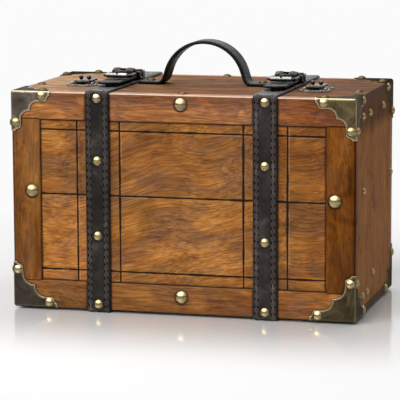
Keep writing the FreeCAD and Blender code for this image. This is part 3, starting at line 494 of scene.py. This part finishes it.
def metal(
    name, dark, mid, bright, rough, scale, pit=0.15, wear=False, crevice=0.0, fold_highlights=False,
    top_shade=1.0, under_shade=1.0, low_dark=1.0, edge=1.0,
):
    """Aged metal with patches of patina, pitting and scratches.

    wear rubs the rims bright, crevice is how far the painted contact shade reaches, fold_highlights
    paints pale highlight lines on the folded edges, top_shade and under_shade paint shade on what lies on
    top and what faces down, low_dark darkens what sits low, and edge is the sheen at a slant.
    """
    g = material_graph(name)
    point = g.object_point()
    x, y, z = g.axes(point)
    patch = g.noise(point, scale, 5.0, 0.66, 0.7)
    fine = g.noise(point, scale * 14.0, 4.0, 0.7)
    scratch = g.noise(g.vector("MULTIPLY", point, (1.0, 3.0, 24.0)), scale * 6.0, 3.0, 0.6)
    uneven = g.math("SUBTRACT", fine, 0.5)
    colour = g.ramp(patch, [(0.30, dark), (0.52, mid), (0.76, bright)])
    # Mottled grime laid at random over the metal.
    grime_and_shade = g.ramp(fine, [(0.33, (0.62,)), (0.50, (1.0,)), (0.72, (1.14,))])
    colour = g.mix(0.8, colour, grime_and_shade, "MULTIPLY")
    lines = g.ramp(scratch, [(0.64, (0.0,)), (0.70, (1.0,))])
    colour = g.mix(g.math("MULTIPLY", lines, 0.22), colour, bright)
    if wear:
        worn = g.math("ADD", g.attribute("wear"), g.math("MULTIPLY", uneven, 0.7))
        colour = g.mix(g.span(worn, 0.55, 1.0, 0.0, 0.55), colour, toned(bright, 1.9))
    # Painted highlight lines along the brackets' folded edges.
    if fold_highlights:
        stray = g.math("MULTIPLY", uneven, 0.0012)
        out = BRACKET_SHEET
        face = g.math("SUBTRACT", (BACK_Y + out) * MM, g.math("ABSOLUTE", y))
        upright = g.math("MAXIMUM", from_end(g, x, out), face)
        upright = g.span(g.math("ADD", upright, stray), 0.0011, 0.0019, 0.85, 0.0)
        colour = g.mix(upright, colour, (0.36, 0.30, 0.14))
        upper = g.math("MAXIMUM", from_front(g, y, out), from_top(g, z, out))
        upper = g.span(g.math("ADD", upper, stray), 0.0010, 0.0017, 0.90, 0.0)
        colour = g.mix(upper, colour, (0.62, 0.53, 0.34))
    if low_dark < 1.0:
        colour = g.scale(colour, g.span(z, 0.05, 0.22, low_dark, 1.15))
    # Painted shade on what lies above the top face.
    if top_shade < 1.0:
        top = TOP_Z * MM
        colour = g.scale(colour, g.span(z, top - 0.001, top + 0.0008, 1.0, top_shade))
    # Painted shade on faces that look down.
    if under_shade < 1.0:
        colour = g.scale(colour, g.span(g.facing_up(), -0.70, 0.40, under_shade, 1.0))
    # Painted contact shade round the foot of each nail.
    if crevice:
        colour = g.grime_and_shade(colour, crevice, darkest=0.05, low=0.81, high=0.93, samples=8)
    roughness = g.span(patch, 0.3, 0.75, rough + 0.12, rough - 0.05)
    roughness = g.math("ADD", roughness, g.math("MULTIPLY", fine, 0.06))
    normal = g.bump(fine, pit, 0.0003, g.bump(patch, pit * 0.6, 0.0010))
    return g.finish(
        Base_Color=colour, Metallic=1.0, Roughness=roughness, Normal=normal,
        Specular_Tint=(edge, edge, edge, 1.0),
    )


# The nails take painted shade on the top face, on their undersides and round their feet.
nail_brass = metal(
    "nail_brass", (0.38, 0.285, 0.135), (0.50, 0.385, 0.20), (0.62, 0.50, 0.30),
    rough=0.21, scale=120.0, pit=0.010, crevice=8.0, top_shade=0.14, under_shade=0.34, edge=0.40,
)
bracket_left = metal(
    "bracket_bronze_grey", (0.050, 0.041, 0.032), (0.115, 0.096, 0.075), (0.300, 0.245, 0.185),
    rough=0.40, scale=40.0, pit=0.2, wear=True, fold_highlights=True, top_shade=0.20, low_dark=0.50, edge=0.5,
)
bracket_right = metal(
    "bracket_bronze_olive", (0.037, 0.028, 0.014), (0.084, 0.064, 0.033), (0.205, 0.158, 0.080),
    rough=0.38, scale=46.0, pit=0.2, wear=True, fold_highlights=True, top_shade=0.20, low_dark=0.70, edge=0.5,
)
# The rear brackets and their rims take darker copies of the bronze and brass, as painted shade.
bracket_rear_shaded = metal(
    "bracket_bronze_dark", (0.028, 0.022, 0.013), (0.062, 0.049, 0.028), (0.135, 0.107, 0.060),
    rough=0.42, scale=43.0, pit=0.2, wear=True, top_shade=0.20, edge=0.35,
)
rim_dark = metal(
    "rim_dark", (0.08, 0.064, 0.037), (0.14, 0.112, 0.064), (0.22, 0.178, 0.105),
    rough=0.34, scale=120.0, pit=0.05, top_shade=0.3, edge=0.3,
)
rim_brass = metal(
    "rim_brass", (0.42, 0.35, 0.20), (0.66, 0.57, 0.36), (0.86, 0.78, 0.56),
    rough=0.28, scale=120.0, pit=0.05,
)
black_metal = metal(
    "black_metal", (0.018, 0.016, 0.0145), (0.038, 0.033, 0.029), (0.125, 0.108, 0.085),
    rough=0.32, scale=150.0,
)
hinge_metal = metal(
    "hinge_metal", (0.07, 0.060, 0.040), (0.15, 0.125, 0.08), (0.30, 0.25, 0.16),
    rough=0.38, scale=90.0,
)
roller_steel = metal(
    "roller_steel", (0.09, 0.086, 0.080), (0.16, 0.154, 0.145), (0.28, 0.27, 0.255),
    rough=0.20, scale=140.0, pit=0.04,
)
latch_rim = metal(
    "latch_rim", (0.05, 0.047, 0.041), (0.105, 0.098, 0.085), (0.22, 0.205, 0.18),
    rough=0.28, scale=150.0, pit=0.05,
)


# Mesh helpers
EPSILON = 1e-6
FLAT_ANGLE = 1.0
SHADE_ANGLE = 28.0
SPLIT_PASSES = 5


def new_object(name, data):
    made = bpy.data.objects.new(name, data)
    bpy.context.scene.collection.objects.link(made)
    return made


def make_piece(name, vertices, faces, material, body, second=None, second_from=None):
    mesh = bpy.data.meshes.new(name)
    mesh.from_pydata([Vector(v) * MM for v in vertices], [], faces)
    piece = new_object(name, mesh)
    mesh.materials.append(material)
    if second:
        mesh.materials.append(second)
        mesh.polygons.foreach_set("material_index", [int(i >= second_from) for i in range(len(faces))])
    mesh.polygons.foreach_set("use_smooth", [True] * len(mesh.polygons))
    form = bmesh.new()
    form.from_mesh(mesh)
    bmesh.ops.recalc_face_normals(form, faces=form.faces)
    form.to_mesh(mesh)
    form.free()
    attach(piece, body)
    return piece


def store(mesh, name, values):
    attribute = mesh.attributes.new(name, "FLOAT", "POINT")
    attribute.data.foreach_set("value", values)


def tube_faces(base, rings, count):
    """The faces of a closed tube: quads between its rings of points, and a cap at each end."""
    faces = []
    for ring in range(1, rings):
        start = base + (ring - 1) * count
        for k in range(count):
            a, b = start + k, start + (k + 1) % count
            faces.append((a, b, b + count, a + count))
    last = base + (rings - 1) * count
    faces.append(tuple(range(base, base + count)))
    faces.append(tuple(range(last, last + count)))
    return faces


def line_points(start, end, step):
    count = max(1, round((end - start).length / step))
    return [start.lerp(end, i / count) for i in range(count + 1)]


def arc_points(centre, radius, start, end, step_degrees=7.5):
    count = max(2, round(abs(end - start) / step_degrees))
    turns = [math.radians(start + (end - start) * i / count) for i in range(count + 1)]
    return [centre + Vector((math.cos(t), math.sin(t))) * radius for t in turns]


def join_points(*runs):
    path = []
    for run in runs:
        for point in run:
            if not path or (point - path[-1]).length > EPSILON:
                path.append(point)
    return path


class Route:
    """A flat path of 2D points; side says which hand of the way it runs is outward."""

    def __init__(self, points, side):
        self.points = points
        self.along = [0.0]
        for a, b in zip(points, points[1:]):
            self.along.append(self.along[-1] + (b - a).length)
        self.length = self.along[-1]
        self.normals = []
        for i in range(len(points)):
            before = points[max(0, i - 1)]
            after = points[min(len(points) - 1, i + 1)]
            way = (after - before).normalized()
            self.normals.append(Vector((-way.y, way.x)) * side)

    def at(self, distance):
        """The point at a distance along the path, and the outward direction there."""
        i = 0
        while i < len(self.points) - 2 and self.along[i + 1] < distance:
            i += 1
        share = (distance - self.along[i]) / max(1e-9, self.along[i + 1] - self.along[i])
        share = min(1.0, max(0.0, share))
        point = self.points[i].lerp(self.points[i + 1], share)
        return point, self.normals[i].lerp(self.normals[i + 1], share)


END_ROUND = 0.7


def band(name, route, profile, place, material, body, width_at=None, welt=None):
    """Sweeps a strap's closed profile of (across, up) points along a route.

    place turns a flat point and a distance across to 3D. welt bounds the raised part between two rows, which
    the leather lightens as a painted highlight.
    """
    vertices = []
    top = max(up for _, up in profile)
    clear = END_ROUND * 1.4
    stations = [0.0, END_ROUND * 0.35, END_ROUND]
    stations += [d for d in route.along if clear < d < route.length - clear]
    stations += [route.length - END_ROUND, route.length - END_ROUND * 0.35, route.length]
    for distance in stations:
        point, normal = route.at(distance)
        gap = min(distance, route.length - distance)
        pull = 1.0 - min(1.0, gap / END_ROUND)
        widen = width_at(distance) if width_at else 1.0
        for across, up in profile:
            lifted = top / 2 + (up - top / 2) * (1.0 - 0.34 * pull)
            vertices.append(place(point + normal * lifted, across * widen * (1.0 - 0.03 * pull)))
    faces = tube_faces(0, len(stations), len(profile))
    piece = make_piece(name, vertices, faces, material, body)
    if welt:
        half = max(across for across, _ in profile)
        inset = [(half - abs(across), up) for across, up in profile]
        welt_highlight = [float(welt[0] < edge < welt[1] and up > top / 2) for edge, up in inset]
        store(piece.data, "welt", welt_highlight * len(stations))
    return piece


def strap_profile(width, thickness, rows, groove=0.38, under_rows=False):
    """A strap's section: rounded edges, a channel under each stitched row and padding between."""
    half = width / 2
    marks = sorted(rows)
    shape = [
        (half - 0.25, thickness * 0.62), (half - 0.6, thickness - 0.45), (half - 1.15, thickness - 0.2)
    ]
    for row in marks:
        for off, drop in ((0.75, 0.0), (0.35, -0.7), (0.0, -1.0), (-0.35, -0.7), (-0.75, 0.0)):
            u = half - row + off
            base = thickness - (0.16 if u > half - marks[0] else 0.06)
            shape.append((u, base + drop * groove))
    if len(marks) > 1:
        shape.append((half - (marks[0] + marks[1]) / 2, thickness))
    inner = half - marks[-1] - 2.4
    shape += [(inner, thickness - 0.10), (inner * 0.5, thickness - 0.16)]
    shape.sort(key=lambda p: -p[0])
    upper = [(half, thickness * 0.40)] + shape + [(0.0, thickness - 0.18)]
    upper += [(-u, n) for u, n in reversed(shape)] + [(-half, thickness * 0.40)]
    lower = [(-half + 0.12, 0.25), (-half + 0.55, 0.0)]
    if under_rows:
        row = marks[0] - half
        channel = [(row - 0.7, 0.0), (row, groove), (row + 0.7, 0.0)]
        lower += channel + [(-half * 0.4, 0.05), (half * 0.4, 0.05)]
        lower += [(-u, n) for u, n in reversed(channel)]
    else:
        lower += [(-half * 0.5, 0.0), (0.0, 0.0), (half * 0.5, 0.0)]
    lower += [(half - 0.55, 0.0), (half - 0.12, 0.25)]
    return upper + lower


THREAD_RADIUS = 0.55
THREAD_RISE = 0.30
STITCH_SLANT = 0.35
HOLE_RADIUS = 0.72
HOLE_RISE = 0.05
ROW_STAGGER = 0.12
GRAIN_SIDES = 6


def stitches(
    name, route, rows, width, place, lift, body,
    pitch=8.2, length=5.8, margin=3.0, width_at=None, spans=None,
):
    """Rows of stitches: rounded lengths of thread with a black lens of painted shade for the awl hole between
    each two.
    """
    threads, holes = ([], []), ([], [])
    count = int((route.length - 2 * margin) / pitch)
    start = (route.length - count * pitch) / 2
    draw = random.Random(len(name) * 7 + int(route.length))

    def grain(target, u0, middle, reach, skew, radius, rise, rings):
        vertices, faces = target
        faces += tube_faces(len(vertices), rings, GRAIN_SIDES)
        for r in range(rings):
            share = r / (rings - 1) * 2 - 1
            swell = math.sqrt(max(0.0, 1 - share * share * 0.94))
            point, normal = route.at(middle + share * reach)
            height = lift + rise * (swell - 0.5)
            for s in range(GRAIN_SIDES):
                turn = 2 * math.pi * s / GRAIN_SIDES
                across = u0 + skew * share + math.cos(turn) * radius * swell
                flat = point + normal * (height + math.sin(turn) * radius * 0.7 * swell)
                vertices.append(place(flat, across))

    for i in range(count + 1):
        for order, row in enumerate(rows):
            middle = start + (i + ROW_STAGGER * order) * pitch
            if middle > route.length - margin - pitch / 2:
                continue
            if spans and not any(a <= middle <= b for a, b in spans):
                continue
            widen = width_at(middle) if width_at else 1.0
            for hand in (-1, 1):
                u0 = hand * (width / 2 * widen - row)
                skew = STITCH_SLANT + draw.uniform(-0.12, 0.12)
                centre = middle + draw.uniform(-0.2, 0.2)
                grain(threads, u0, centre, length / 2, skew, THREAD_RADIUS, THREAD_RISE, rings=7)
                reach = (pitch - length) * 0.46
                grain(holes, u0, middle + pitch / 2, reach, 0.0, HOLE_RADIUS, HOLE_RISE, rings=5)
    shift = len(threads[0])
    faces = threads[1] + [tuple(i + shift for i in face) for face in holes[1]]
    make_piece(
        name, threads[0] + holes[0], faces, stitch_thread, body, stitch_hole, len(threads[1])
    )


def split_ngons(form):
    bmesh.ops.triangulate(form, faces=[f for f in form.faces if len(f.verts) > 4])


def dressed_copy(node, name, materials, body, bevel, segments, rim=None, angle=35.0, mesh_size=None):
    """A piece in a CAD node's own shape with its sharp edges eased.

    rim is the material index of the eased edges, and mesh_size the longest edge that is left.
    """
    mesh = bpy.data.meshes.new(name)
    form = bmesh.new()
    form.from_mesh(NODES[node].data)
    bmesh.ops.remove_doubles(form, verts=form.verts, dist=EPSILON)
    bmesh.ops.dissolve_limit(form, angle_limit=math.radians(FLAT_ANGLE), verts=form.verts, edges=form.edges)
    folded = [e for e in form.edges if len(e.link_faces) == 2]
    sharp = [e for e in folded if e.calc_face_angle() > math.radians(angle)]
    for face in form.faces:
        face.material_index = 0
    bmesh.ops.bevel(
        form, geom=sharp, offset=bevel * MM, offset_type="OFFSET", segments=segments, profile=0.5,
        affect="EDGES", clamp_overlap=True, material=-1 if rim is None else rim,
    )
    split_ngons(form)
    if mesh_size:
        for _ in range(SPLIT_PASSES):
            long_edges = [e for e in form.edges if e.calc_length() > mesh_size * MM]
            if not long_edges:
                break
            bmesh.ops.subdivide_edges(form, edges=long_edges, cuts=1)
            split_ngons(form)
    for face in form.faces:
        face.smooth = True
    bmesh.ops.recalc_face_normals(form, faces=form.faces)
    form.to_mesh(mesh)
    form.free()
    piece = new_object(name, mesh)
    for material in materials:
        mesh.materials.append(material)
    mesh.set_sharp_from_angle(angle=math.radians(SHADE_ANGLE))
    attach(piece, body)
    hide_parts(node)
    return piece


def wear_near_rims(piece, reach):
    """Stores how near each point lies to an eased rim, for the metal's rubbed borders."""
    mesh = piece.data
    rim_points = {v for p in mesh.polygons if p.material_index == 1 for v in p.vertices}
    tree = KDTree(len(rim_points))
    for i, v in enumerate(rim_points):
        tree.insert(mesh.vertices[v].co, i)
    tree.balance()
    gaps = [tree.find(v.co)[2] for v in mesh.vertices]
    store(mesh, "wear", [max(0.0, 1.0 - gap / (reach * MM)) for gap in gaps])


def crown_over(piece, x_centre, half, slot, z_from, z_to, rise):
    """Swells a fold of leather a little beside its prong slot, as it stands proud of the bar under it."""
    for v in piece.data.vertices:
        x, z = v.co.x / MM - x_centre, v.co.z / MM
        share = min(1.0, max(0.0, (z - z_from) / (z_to - z_from)))
        clear = min(1.0, max(0.0, (abs(x) - slot) / slot))
        v.co.z += rise * share * clear * (1.0 - (x / half) ** 2) * MM


# Leather straps round the chest
STITCH_ROWS = (2.7, 6.2)
STRAP_STITCH_LIFT = STRAP_THICKNESS - 0.42


def yz_place(x_centre):
    return lambda flat, across: Vector((x_centre + across, flat.x, flat.y))


def wrap_route(toward):
    """From the parting line over the top edge, down the face and under, on the wood's surface."""
    face = FRONT_Y if toward < 0 else BACK_Y
    r = EDGE_RADIUS
    bend_y = face - toward * r
    away = 180 if toward < 0 else 0
    sweep = 90 if toward < 0 else -90
    top_end = Vector((PARTING_Y + toward * STRAP_END, TOP_Z))
    under_end = Vector((PARTING_Y + toward * STRAP_HINGE_SETBACK, BOTTOM_Z))
    runs = join_points(
        line_points(top_end, Vector((bend_y, TOP_Z)), step=6.0),
        arc_points(Vector((bend_y, TOP_Z - r)), r, 90, 90 + sweep),
        line_points(Vector((face, TOP_Z - r)), Vector((face, BOTTOM_Z + r)), step=6.0),
        arc_points(Vector((bend_y, BOTTOM_Z + r)), r, away, away + sweep),
        line_points(Vector((bend_y, BOTTOM_Z)), under_end, step=6.0),
    )
    return Route(runs, -1 if toward < 0 else 1)


strap_shape = strap_profile(STRAP_WIDTH, STRAP_THICKNESS, STITCH_ROWS)
for side, hand in SIDES:
    for body, toward in HALVES:
        route = wrap_route(toward)
        place = yz_place(hand * STRAP_X)
        node = f"{body}_strap_{side}"
        strap = band(
            node + "_leather", route, strap_shape, place, strap_leather, body, welt=STITCH_ROWS
        )
        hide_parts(node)
        stitches(
            node + "_stitching", route, STITCH_ROWS, STRAP_WIDTH, place, STRAP_STITCH_LIFT, body
        )

# Carry handle
HANDLE_Y = 5.0
HANDLE_WIDTH = 30.0
HANDLE_THICKNESS = 3.8
HANDLE_FOOT_END = 78.7
HANDLE_ARCH = 49.5
HANDLE_RISE = 52.0
HANDLE_BEND = 7.0
HANDLE_LEAN = 72.0
HANDLE_ROWS = (2.9,)
HANDLE_STITCH_LIFT = HANDLE_THICKNESS - 0.46


def handle_route():
    """Along the underside: a foot, a bend, a leaning leg and the arch, and the same mirrored."""
    t = HANDLE_THICKNESS
    lean = math.radians(HANDLE_LEAN)
    out = Vector((math.sin(lean), -math.cos(lean)))
    up = Vector((math.cos(lean), math.sin(lean)))
    arch = Vector((0.0, HANDLE_RISE - HANDLE_ARCH))
    start = arch - out * HANDLE_ARCH
    length = (start.y - (t + HANDLE_BEND) + HANDLE_BEND * math.cos(lean)) / math.sin(lean)
    bend = start - up * length - out * HANDLE_BEND
    inner = HANDLE_BEND + t
    left = join_points(
        line_points(Vector((-HANDLE_FOOT_END, 0.0)), Vector((bend.x, 0.0)), step=4.0),
        arc_points(bend, inner, -90, -90 + HANDLE_LEAN, step_degrees=5.0),
        line_points(bend + out * inner, arch - out * (HANDLE_ARCH - t), step=4.0),
    )
    crown = arc_points(arch, HANDLE_ARCH - t, 90 + HANDLE_LEAN, 90 - HANDLE_LEAN, step_degrees=4.0)
    right = [Vector((-p.x, p.y)) for p in reversed(left)]
    return Route(join_points(left, crown, right), 1)


def handle_place(flat, across):
    return Vector((flat.x, HANDLE_Y + across, TOP_Z + flat.y))


handle_path = handle_route()
handle_shape = strap_profile(HANDLE_WIDTH, HANDLE_THICKNESS, HANDLE_ROWS, groove=0.42, under_rows=True)
handle = band(
    "carry_handle_leather", handle_path, handle_shape, handle_place, handle_leather, "base"
)
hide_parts("carry_handle")
stitches(
    "carry_handle_stitching", handle_path, HANDLE_ROWS, HANDLE_WIDTH, handle_place,
    HANDLE_STITCH_LIFT, "base", pitch=5.2, length=3.6,
)

# Closing straps, chapes and keepers
CLOSING_WIDTH = 26.0
CLOSING_THICKNESS = 2.6
CLOSING_BOTTOM = 257.7
CLOSING_TAIL_Y = -72.0
CLOSING_TIP = 6.0
CLOSING_TIP_RUN = 8.0
CLOSING_ROWS = (2.6,)
CLOSING_STITCH_LIFT = CLOSING_THICKNESS - 0.40
CLOSING_SEWN = ((0.0, 46.0), (84.0, 98.0))
PIVOT_Y = 26.0
PIVOT_Z = 261.85
EYE_RADIUS = 4.15
EYE_TURN = (-90, 192)
CHAPE_SLOT_HALF = 3.2
CHAPE_CROWN = (262.0, 267.0, 1.3)


def closing_route():
    """From the tail's tip along the underside, then round the outside of the eye."""
    tip = Vector((CLOSING_TAIL_Y, CLOSING_BOTTOM))
    straight = Vector((CLOSING_TAIL_Y + CLOSING_TIP_RUN, CLOSING_BOTTOM))
    runs = join_points(
        line_points(tip, straight, step=0.5),
        line_points(straight, Vector((PIVOT_Y, CLOSING_BOTTOM)), step=5.0),
        arc_points(Vector((PIVOT_Y, PIVOT_Z)), EYE_RADIUS, *EYE_TURN, step_degrees=9.0),
    )
    return Route(runs, 1)


def closing_width_at(distance):
    if distance >= CLOSING_TIP:
        return 1.0
    share = 1.0 - distance / CLOSING_TIP
    return 1.0 - (CLOSING_TIP / (CLOSING_WIDTH / 2)) * share ** 1.6


closing_shape = strap_profile(CLOSING_WIDTH, CLOSING_THICKNESS, CLOSING_ROWS, groove=0.34)
for side, hand in SIDES:
    body = "closing_" + side
    place = yz_place(hand * STRAP_X)
    route = closing_route()
    tongue = band(
        f"closing_strap_{side}_leather", route, closing_shape, place, handle_leather, body,
        closing_width_at,
    )
    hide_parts("closing_strap_" + side)
    stitches(
        f"closing_strap_{side}_stitching", route, CLOSING_ROWS, CLOSING_WIDTH, place,
        CLOSING_STITCH_LIFT, body, pitch=5.4, length=3.6, margin=7.0,
        width_at=closing_width_at, spans=CLOSING_SEWN,
    )
    fold = dressed_copy(
        "buckle_chape_" + side, f"buckle_chape_{side}_leather", (handle_leather,), body,
        bevel=0.85, segments=4, mesh_size=2.5,
    )
    crown_over(fold, hand * STRAP_X, CLOSING_WIDTH / 2, CHAPE_SLOT_HALF, *CHAPE_CROWN)
    dressed_copy(
        "keeper_loop_" + side, f"keeper_loop_{side}_leather", (handle_leather,), body,
        bevel=0.7, segments=4,
    )

# Corner brackets with worn bright rims
RIM_REACH = 6.0
for owner, _ in HALVES:
    for level in ("top", "bottom"):
        for side, hand in SIDES:
            node = f"{owner}_bracket_{level}_{side}"
            sheet = bracket_left if hand < 0 else bracket_right
            pair = (sheet, rim_brass) if owner == "lid" else (bracket_rear_shaded, rim_dark)
            piece = dressed_copy(
                node, node + "_sheet", pair, owner,
                bevel=0.42, segments=2, rim=1, angle=40.0, mesh_size=4.0,
            )
            wear_near_rims(piece, RIM_REACH)


# Small fasteners
UP = Vector((0, 0, 1))
DOWN = Vector((0, 0, -1))
KNOB_FOOT = 0.12
KNOB_TURNS = (18, 36, 54, 70, 84)


def lathe(profile, centre, up, turn_steps=20, slot_half=0.0, slot_depth=0.0):
    """A small turned head from (radius, height) points; a straight slot may be cut across it."""
    up = up.normalized()
    side = up.orthogonal().normalized()
    other = up.cross(side)
    slotted = profile[0][0] * 0.93
    vertices = []
    for radius, height in profile:
        for k in range(turn_steps):
            turn = 2 * math.pi * k / turn_steps
            a, b = math.cos(turn) * radius, math.sin(turn) * radius
            h = height - (slot_depth if abs(b) < slot_half and radius < slotted else 0.0)
            vertices.append(centre + side * a + other * b + up * h)
    return vertices, tube_faces(0, len(profile), turn_steps)


def fasteners(name, heads, material, body):
    vertices, faces = [], []
    for head_vertices, head_faces in heads:
        shift = len(vertices)
        vertices += head_vertices
        faces += [tuple(i + shift for i in face) for face in head_faces]
    make_piece(name, vertices, faces, material, body)


def knob(radius, height):
    """A low dome on a short foot."""
    shape = [(radius, -0.15), (radius, height * KNOB_FOOT)]
    for turn in KNOB_TURNS:
        a = math.radians(turn)
        shape.append((radius * math.cos(a), height * (KNOB_FOOT + (1.0 - KNOB_FOOT) * math.sin(a))))
    return shape


def head_pair(shape, x, y, z, half_gap):
    return [lathe(shape, Vector((x + d, y, z)), UP) for d in (-half_gap, half_gap)]


LATCH_X = 138.0
LATCH_Y = -38.5
LATCH_FRONT_Y = -46.6
CATCH_Y = -8.0
LATCH_STEP_Z = 253.6
STUD_DROP = 0.7
BEAD_DROP = 0.75
BEAD_COUNT = 22
BEAD_RING = (16.4, 10.9)
for side, hand in SIDES:
    x = hand * LATCH_X
    heads = head_pair(knob(radius=2.5, height=2.7), x, LATCH_Y, LATCH_STEP_Z, half_gap=12.2)
    studs = knob(radius=1.7, height=1.4)
    heads += head_pair(studs, x, LATCH_FRONT_Y, LATCH_STEP_Z - STUD_DROP, half_gap=9.0)
    for k in range(BEAD_COUNT):
        turn = 2 * math.pi * (k + 0.5) / BEAD_COUNT
        bead_x, bead_y = BEAD_RING[0] * math.cos(turn), BEAD_RING[1] * math.sin(turn)
        place = Vector((x + bead_x, LATCH_Y + bead_y, LATCH_STEP_Z - BEAD_DROP))
        heads.append(lathe(knob(radius=1.15, height=1.25), place, UP, turn_steps=12))
    fasteners(f"latch_plate_{side}_beads", heads, latch_rim, "lid")
    for node, body in (("latch_plate_", "lid"), ("latch_catch_", "base"), ("latch_hasp_", "hasp_" + side)):
        dressed_copy(
            node + side, node + side + "_eased", (black_metal, latch_rim), body,
            bevel=0.28, segments=2, rim=1, angle=40.0,
        )
    heads = head_pair(knob(radius=1.5, height=1.1), x, CATCH_Y, LATCH_STEP_Z, half_gap=10.3)
    fasteners(f"latch_catch_{side}_rivets", heads, black_metal, "base")

HINGE_X = 145.0
SCREW_HEAD = (
    (2.7, -0.1), (2.7, 0.1), (2.45, 0.26), (2.0, 0.32), (1.5, 0.34), (1.0, 0.35), (0.5, 0.35), (0.12, 0.35)
)
SCREW_PLACES = ((-15.0, 10.0), (0.0, 12.5), (15.0, 10.0))
for side, hand in SIDES:
    for body, toward in HALVES:
        heads = []
        for d, depth in SCREW_PLACES:
            centre = Vector((hand * HINGE_X + d, PARTING_Y + toward * depth, BOTTOM_Z))
            screw = lathe(SCREW_HEAD, centre, DOWN, turn_steps=24, slot_half=0.42, slot_depth=0.28)
            heads.append(screw)
        fasteners(f"hinge_{body}_{side}_screws", heads, hinge_metal, body)

# Materials on the pieces that keep their CAD form
NODE_MATERIALS = (
    ("_nails", nail_brass), ("lid_front_panel", panel_wood), ("lid_top_rail", top_rail_wood),
    ("lid_bottom_rail", bottom_rail_wood), ("_stile", stile_wood), ("base_back_board", back_wood),
    ("left_board", end_wood), ("right_board", end_wood), ("_board", top_wood),
    ("roller", roller_steel), ("hinge", hinge_metal), ("", black_metal),
)
for node, piece in NODES.items():
    material = next(made for part, made in NODE_MATERIALS if part in node)
    piece.data.materials.clear()
    piece.data.materials.append(material)


# Stage, in metres
FLOOR_HALF = 16.0
FLOOR_Z = -0.0002
FLOOR_WHITE = 0.965
FOOT_HALF_X = 0.19
FOOT_HALF_Y = 0.10
WHITE = (1.0, 1.0, 1.0, 1.0)


def floor_material():
    """Glossy near the chest, plain white far off, and clear over what hangs below it."""
    g = material_graph("studio_floor")
    point = g.object_point()
    x, y, _ = g.axes(point)
    squares = []
    for axis, half in ((x, FOOT_HALF_X), (y, FOOT_HALF_Y)):
        past = g.math("SUBTRACT", g.math("ABSOLUTE", axis), half)
        squares.append(g.math("POWER", g.math("MAXIMUM", past, 0.0), 2.0))
    reach = g.math("SQRT", g.math("ADD", *squares))
    base = g.ramp(g.noise(point, 300.0, 2.0), [(0.0, (0.86,)), (1.0, (0.89,))])
    matte = g.node("ShaderNodeBsdfDiffuse", {"Color": base})
    gloss = g.node("ShaderNodeBsdfGlossy", {"Color": (0.95, 0.95, 0.95, 1.0), "Roughness": 0.10})
    near = g.mix_shader(g.span(reach, 0.0, 0.26, 0.42, 0.0), matte, gloss)
    plain = g.node("ShaderNodeEmission", {"Color": WHITE, "Strength": FLOOR_WHITE})
    rays = g.node("ShaderNodeLightPath").outputs
    through = g.math("MAXIMUM", rays["Is Glossy Ray"], rays["Is Transmission Ray"])
    seen = g.math("MAXIMUM", rays["Is Camera Ray"], through)
    lit = g.mix_shader(g.math("MULTIPLY", g.span(reach, 0.12, 0.60), seen), near, plain)
    below = g.node("ShaderNodeAmbientOcclusion", {"Distance": 0.45}, inside=True, samples=24)
    hidden = g.span(below.outputs["AO"], 0.90, 0.985, 1.0, 0.0)
    return g.close(g.mix_shader(hidden, lit, g.node("ShaderNodeBsdfTransparent")))


mesh = bpy.data.meshes.new("floor")
corners = [(-1, -1), (1, -1), (1, 1), (-1, 1)]
mesh.from_pydata([(a * FLOOR_HALF, b * FLOOR_HALF, FLOOR_Z) for a, b in corners], [], [(0, 1, 2, 3)])
floor = new_object("floor", mesh)
mesh.materials.append(floor_material())
floor.visible_shadow = False


def studio_world():
    """Even light all round; reflections see a dark front and a bright sheet overhead on the left."""
    world = bpy.data.worlds.new("studio")
    bpy.context.scene.world = world
    g = Graph(world, "ShaderNodeOutputWorld")
    x, y, z = g.axes(g.node("ShaderNodeTexCoord").outputs["Generated"])
    depth = g.node("ShaderNodeMapRange", {"Value": y, "From Min": -1.0, "From Max": 1.0})
    walls = g.ramp(depth, [(0.66, (0.09,)), (0.92, (0.75,))])
    sheet = g.math("MULTIPLY", g.span(z, 0.24, 0.64), g.span(x, -0.30, 0.60, 1.0, 0.18))
    mirrored = g.node("ShaderNodeBackground", {"Color": g.mix(sheet, walls, (6.0, 6.0, 5.9))})
    ambient = g.node("ShaderNodeBackground", {"Color": WHITE, "Strength": 0.36})
    seen = g.node("ShaderNodeBackground", {"Strength": 1.0})
    rays = g.node("ShaderNodeLightPath").outputs
    unseen = g.mix_shader(rays["Is Glossy Ray"], ambient, mirrored)
    g.close(g.mix_shader(rays["Is Camera Ray"], unseen, seen))


studio_world()


def softbox(name, place, target, size, power):
    light = bpy.data.lights.new(name, "AREA")
    light.shape = "RECTANGLE"
    light.size, light.size_y = size
    light.energy = power
    lamp = new_object(name, light)
    lamp.location = place
    lamp.rotation_mode = "QUATERNION"
    lamp.rotation_quaternion = (Vector(target) - Vector(place)).to_track_quat("-Z", "Y")
    lamp.visible_glossy = False


softbox("key_softbox", (-0.45, -1.15, 1.75), (0.0, -0.05, 0.12), size=(1.3, 1.0), power=24.0)
softbox("front_softbox", (-0.9, -2.6, 0.9), (0.0, 0.0, 0.12), size=(1.6, 1.2), power=18.0)
softbox("top_softbox", (0.1, 0.55, 1.6), (0.0, 0.0, 0.2), size=(1.4, 0.8), power=10.0)

# Camera
CAMERA_PLACE = (0.6925, -2.5771, 0.5349)
YAW, PITCH, ROLL = math.radians(15.198), math.radians(-8.909), math.radians(-0.267)
camera = bpy.data.cameras.new("camera")
camera.sensor_width = 36.0
camera.lens = 207.75
camera.clip_start, camera.clip_end = 0.05, 60.0
eye = new_object("camera", camera)
eye.location = CAMERA_PLACE
look = Vector((-math.sin(YAW) * math.cos(PITCH), math.cos(YAW) * math.cos(PITCH), math.sin(PITCH)))
turn = look.to_track_quat("-Z", "Y").to_matrix() @ Matrix.Rotation(ROLL, 3, "Z")
eye.rotation_mode = "QUATERNION"
eye.rotation_quaternion = turn.to_quaternion()
bpy.context.scene.camera = eye
bpy.context.scene.view_settings.view_transform = "Standard"
